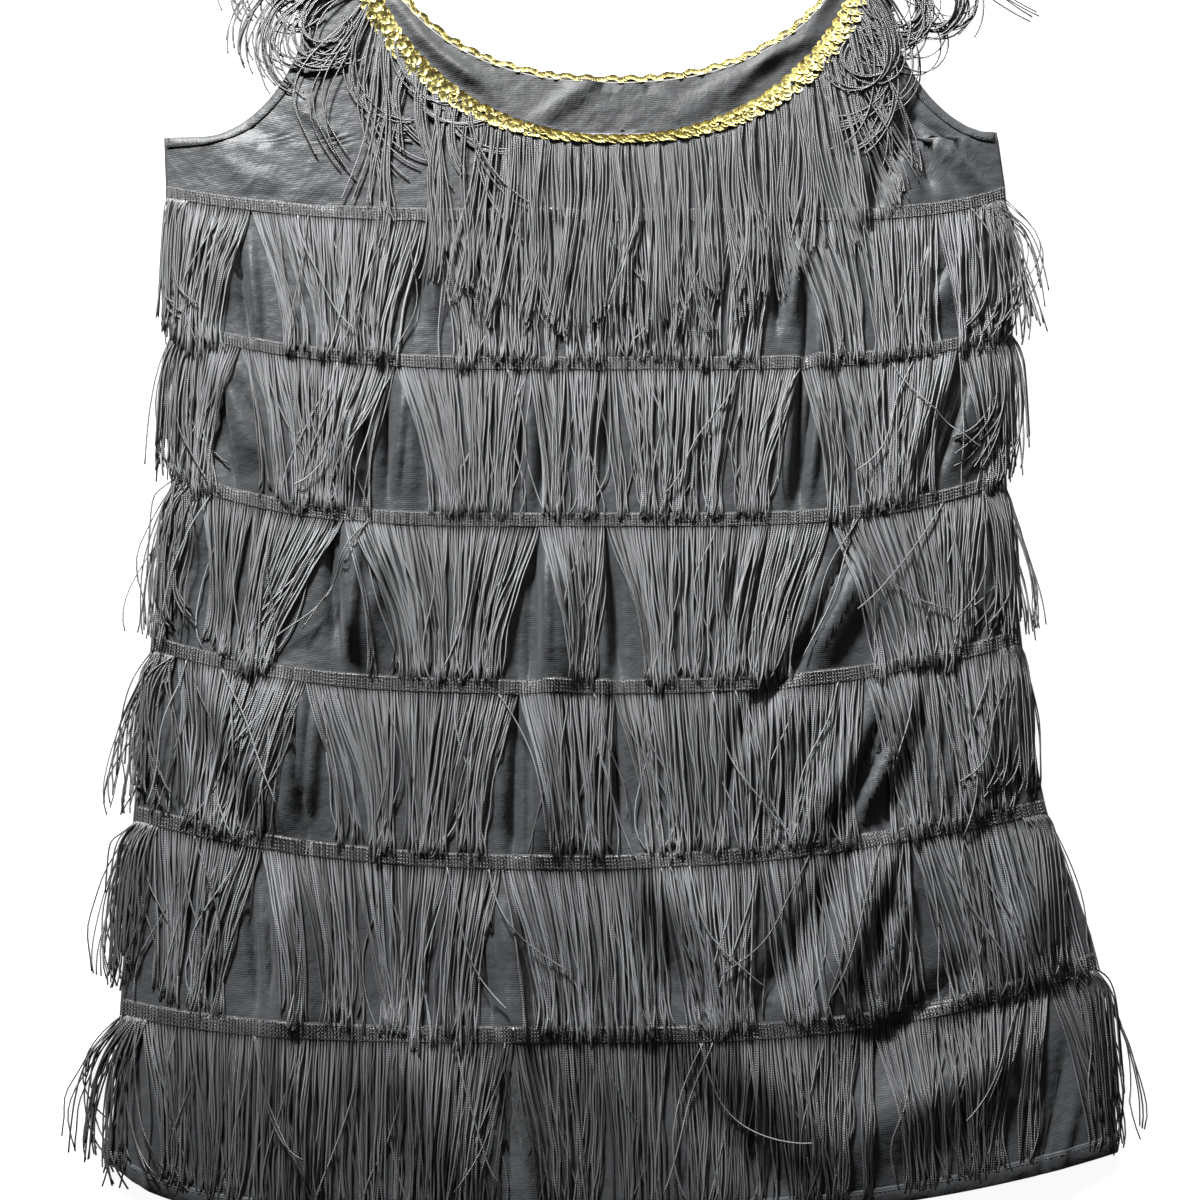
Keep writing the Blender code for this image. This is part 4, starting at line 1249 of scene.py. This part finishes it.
def make_back_trim(path, gold, braid, ground, rng):
    """One narrow braid of smaller sequins inside the back neckline, over its base braid."""
    count = int(BACK_TRIM_LENGTH / SEQUIN_STEP)
    centres, runs, sides, shade, _ = trim_lines(
        path, count, ground, middle=-2.6 * MM, half_width=1.2 * MM, phase=0.0, waist=1.0, lift=1.1 * MM
    )
    lifts = rng.uniform(0, SEQUIN_LIFT, count)
    squash = np.full(count, 0.8)
    mesh = sequin_mesh(
        "back_sequins", centres, runs, sides, lifts, shade, squash, BACK_SEQUIN_RADIUS, rng
    )
    neck_band("back_braid", path, (-4.2 * MM, -0.8 * MM), braid, "sequins", ground)
    return finish_piece("back_sequins", mesh, gold, "sequins", "back_trim")


def node_material(name):
    """A material and its node tree."""
    material = bpy.data.materials.new(name)
    material.use_nodes = True
    return material, material.node_tree


def add_node(tree, kind, values=None, **settings):
    """A node of a kind, with its settings and the values of its sockets."""
    node = tree.nodes.new(kind)
    for name, setting in settings.items():
        setattr(node, name, setting)
    set_sockets(node, values or {})
    return node


def set_sockets(node, values):
    """Values of a node's own sockets, by name or by number."""
    for socket, value in values.items():
        node.inputs[socket].default_value = value


def join(source, output, target, socket):
    """Link from an output of one node to a socket of another."""
    source.id_data.links.new(source.outputs[output], target.inputs[socket])


def new_group(name, inputs, outputs):
    """A shader node group with its sockets, and the nodes that stand for them."""
    group = bpy.data.node_groups.new(name, "ShaderNodeTree")
    for socket, kind in inputs.items():
        group.interface.new_socket(socket, in_out="INPUT", socket_type=kind)
    for socket, kind in outputs.items():
        group.interface.new_socket(socket, in_out="OUTPUT", socket_type=kind)
    return group, group.nodes.new("NodeGroupInput"), group.nodes.new("NodeGroupOutput")


def make_knit_group():
    """Shared knit effect: fine ribs across the cloth, a softer grain, small dents and a change of shade."""
    group, given, made = new_group("fine_ribbed_knit", CLOTH_INPUTS, CLOTH_OUTPUTS)
    cut = add_node(group, "ShaderNodeUVMap", uv_map="cut")
    ribs = add_node(
        group,
        "ShaderNodeTexWave",
        {"Scale": RIB_SCALE, "Distortion": 0.6, "Detail Scale": 0.2},
        bands_direction="Y",
    )
    join(cut, "UV", ribs, "Vector")
    place = add_node(group, "ShaderNodeTexCoord")
    grain = add_node(group, "ShaderNodeTexNoise", {"Scale": GRAIN_SCALE, "Detail": 3})
    shade = add_node(group, "ShaderNodeTexNoise", {"Scale": SHADE_SCALE, "Detail": 4})
    pucker = add_node(group, "ShaderNodeTexNoise", {"Scale": PUCKER_SCALE, "Detail": 3})
    for noise in (grain, shade, pucker):
        join(place, "Object", noise, "Vector")
    colour = add_node(group, "ShaderNodeMix", data_type="RGBA")
    join(shade, "Fac", colour, "Factor")
    join(given, "Dark", colour, "A")
    join(given, "Pale", colour, "B")
    join(colour, "Result", made, "Color")
    rough = add_node(group, "ShaderNodeMath", {1: 0.14}, operation="MULTIPLY_ADD")
    join(grain, "Fac", rough, 0)
    join(given, "Roughness", rough, 2)
    join(rough, "Value", made, "Roughness")
    height = add_node(group, "ShaderNodeMix", {"Factor": 0.5})
    join(ribs, "Fac", height, "A")
    join(grain, "Fac", height, "B")
    bump = add_node(group, "ShaderNodeBump", {"Strength": 0.34, "Distance": 0.0003})
    join(height, "Result", bump, "Height")
    dents = add_node(group, "ShaderNodeBump", {"Strength": 0.5, "Distance": 0.0022})
    join(pucker, "Fac", dents, "Height")
    join(bump, "Normal", dents, "Normal")
    join(dents, "Normal", made, "Normal")
    return group


def cloth_material(name, group, finish):
    """Knit or yarn: a Principled shader fed by one of the shared effects."""
    material, tree = node_material(name)
    shader = tree.nodes["Principled BSDF"]
    sheen = {"Sheen Weight": finish.sheen, "Sheen Roughness": 0.45}
    set_sockets(shader, {**sheen, "Specular IOR Level": finish.specular})
    effect = add_node(tree, "ShaderNodeGroup", node_tree=group)
    shades = {"Dark": (*finish.dark, 1), "Pale": (*finish.pale, 1)}
    set_sockets(effect, {**shades, "Roughness": finish.roughness})
    join(effect, "Color", shader, "Base Color")
    join(effect, "Roughness", shader, "Roughness")
    join(effect, "Normal", shader, "Normal")
    return material


def make_chain_group():
    """Shared yarn effect: each strand has a random tone, darkened by painted shade for some strands, and
    small chained loops along it with painted shade in their hollows.
    """
    group, given, made = new_group("yarn_chain", CLOTH_INPUTS, CLOTH_OUTPUTS)
    tone_and_shade = add_node(group, "ShaderNodeAttribute", attribute_name="tone_and_shade")
    reached = add_node(group, "ShaderNodeAttribute", attribute_name="reached")
    pace = add_node(group, "ShaderNodeMath", {1: 2 * math.pi / CHAIN_PITCH}, operation="MULTIPLY")
    join(reached, "Fac", pace, 0)
    start = add_node(group, "ShaderNodeMath", {1: CHAIN_SHIFT}, operation="MULTIPLY_ADD")
    join(tone_and_shade, "Fac", start, 0)
    join(pace, "Value", start, 2)
    loops = add_node(group, "ShaderNodeMath", operation="SINE")
    join(start, "Value", loops, 0)
    shade = add_node(group, "ShaderNodeMix", data_type="RGBA")
    join(tone_and_shade, "Fac", shade, "Factor")
    join(given, "Dark", shade, "A")
    join(given, "Pale", shade, "B")
    # Painted shade in the hollows between the chained loops: the colour darkens where the loops dip
    between = add_node(group, "ShaderNodeMapRange", {"From Min": -1.0, "To Min": 0.6, "To Max": 0.0})
    join(loops, "Value", between, "Value")
    colour = add_node(group, "ShaderNodeMix", data_type="RGBA")
    join(between, "Result", colour, "Factor")
    join(shade, "Result", colour, "A")
    join(given, "Dark", colour, "B")
    join(colour, "Result", made, "Color")
    rough = add_node(group, "ShaderNodeMath", {1: 0.15}, operation="MULTIPLY_ADD")
    join(tone_and_shade, "Fac", rough, 0)
    join(given, "Roughness", rough, 2)
    join(rough, "Value", made, "Roughness")
    bump = add_node(group, "ShaderNodeBump", {"Strength": 0.6, "Distance": 0.00016})
    join(loops, "Value", bump, "Height")
    join(bump, "Normal", made, "Normal")
    return group


def make_sequin_material(name):
    """Gold foil: each sequin paler or darker by its painted shade and a random tone, a dark rim and hole,
    and fine scratches.
    """
    material, tree = node_material(name)
    shader = tree.nodes["Principled BSDF"]
    set_sockets(shader, {"Metallic": 0.2})
    tone_and_shade = add_node(tree, "ShaderNodeAttribute", attribute_name="tone_and_shade")
    foil = add_node(tree, "ShaderNodeValToRGB")
    shades = foil.color_ramp.elements
    shades[0].color = FOIL_DARK
    shades[1].color = FOIL_PALE
    shades.new(0.4).color = FOIL_GOLD
    join(tone_and_shade, "Fac", foil, "Fac")
    rim = add_node(tree, "ShaderNodeAttribute", attribute_name="rim")
    edge = add_node(tree, "ShaderNodeMapRange", {"From Min": 0.05, "From Max": 0.9, "To Max": 0.85})
    join(rim, "Fac", edge, "Value")
    outline = add_node(tree, "ShaderNodeMix", data_type="RGBA")
    set_sockets(outline, {"B": FOIL_RIM})
    join(edge, "Result", outline, "Factor")
    join(foil, "Color", outline, "A")
    join(outline, "Result", shader, "Base Color")
    place = add_node(tree, "ShaderNodeTexCoord")
    scratch = add_node(tree, "ShaderNodeTexNoise", {"Scale": SCRATCH_SCALE})
    join(place, "Object", scratch, "Vector")
    rough = add_node(tree, "ShaderNodeMapRange", {"To Min": 0.26, "To Max": 0.5})
    join(scratch, "Fac", rough, "Value")
    join(rough, "Result", shader, "Roughness")
    return material


def make_floor():
    """Pale floor that glows a little, so that it stays white round the dress."""
    bm = bmesh.new()
    bmesh.ops.create_grid(bm, x_segments=1, y_segments=1, size=FLOOR_HALF)
    floor = bpy.data.objects.new("floor", mesh_of(bm, "floor"))
    bpy.context.scene.collection.objects.link(floor)
    material, tree = node_material("pale_floor")
    set_sockets(
        tree.nodes["Principled BSDF"],
        {
            "Base Color": (0.2, 0.2, 0.2, 1),
            "Roughness": 0.8,
            "Emission Color": (1, 1, 1, 1),
            "Emission Strength": 0.93,
        },
    )
    floor.data.materials.append(material)


def make_lights():
    """Weak light from all round, a soft window at the upper left and a small lamp over the shoulder."""
    world = bpy.data.worlds.new("studio")
    world.use_nodes = True
    set_sockets(world.node_tree.nodes["Background"], {"Color": (1, 1, 1, 1), "Strength": 0.1})
    bpy.context.scene.world = world
    for lamp in LAMPS:
        data = bpy.data.lights.new(lamp.name, "AREA")
        data.size = lamp.size
        data.energy = lamp.power
        light = bpy.data.objects.new(lamp.name, data)
        light.location = lamp.place
        light.rotation_euler = (-Vector(lamp.place)).to_track_quat("-Z", "Y").to_euler()
        bpy.context.scene.collection.objects.link(light)


def make_camera():
    """Camera of the photograph, one metre from the dress."""
    camera = bpy.data.objects.new("camera", bpy.data.cameras.new("camera"))
    camera.location = (0, -math.sin(CAMERA_TILT), math.cos(CAMERA_TILT))
    camera.rotation_euler = (CAMERA_TILT, 0, 0)
    camera.data.sensor_width = SENSOR_WIDTH
    camera.data.lens = SENSOR_WIDTH * FOCAL_PIXELS / PHOTO_PIXELS
    camera.data.clip_start = 0.01
    bpy.context.scene.collection.objects.link(camera)
    bpy.context.scene.camera = camera
    bpy.context.scene.view_settings.view_transform = "Standard"


def main():
    """Materials, then the pieces from the floor up, and what the two panels are cut from."""
    rng = np.random.default_rng(SEED)
    ribbed = make_knit_group()
    chain = make_chain_group()
    knit = cloth_material("black_satin_knit", ribbed, SATIN_KNIT)
    inside = cloth_material("dull_knit_inside", ribbed, KNIT_INSIDE)
    yarn = cloth_material("black_chainette", chain, CHAINETTE)
    weave = cloth_material("black_tape_weave", chain, TAPE_WEAVE)
    braid = cloth_material("brown_trim_braid", chain, TRIM_BRAID)
    gold = make_sequin_material("gold_sequin_foil")

    front = make_front_panel(knit)
    back = make_back_panel(knit, inside)
    ground = HeightMap(MAP_STEP)
    ground.add_piece(back)
    ground.add_piece(front)
    for row in range(1, ROWS + 1):
        ground.add_piece(make_tape(row, weave))
    make_armhole_hems(front, knit, weave, rng)
    make_bottom_hem(knit, weave, rng)
    ground.soften()
    for row in range(ROWS, 0, -1):
        lines = make_row(row, yarn, ground, rng)
    ground.add_lines(lines, STRAND_RADIUS)
    ground.soften()

    front_path = neck_edge(FRONT_NECK)
    neck_band("neck_tape", front_path, (1.0 * MM, 7.0 * MM), weave, "fringe", ground)
    lines, strap = neck_strands(front_path, ground, rng)
    radius = mix(STRAND_RADIUS, LOOP_RADIUS, strap)[:, None]
    # Painted shade: the loops off the straps are darker
    shade = mix(CURTAIN_SHADE, EDGE_AND_CORD_PAINTED_SHADE, strap)
    mesh = strand_mesh("neck_strands", lines, radius, rng, shade=shade)
    finish_piece("neck_strands", mesh, yarn, "fringe", "neck_fringe")
    make_front_trim(front_path, gold, braid, ground, rng)
    make_back_trim(neck_edge(BACK_NECK), gold, braid, ground, rng)


main()
make_floor()
make_lights()
make_camera()
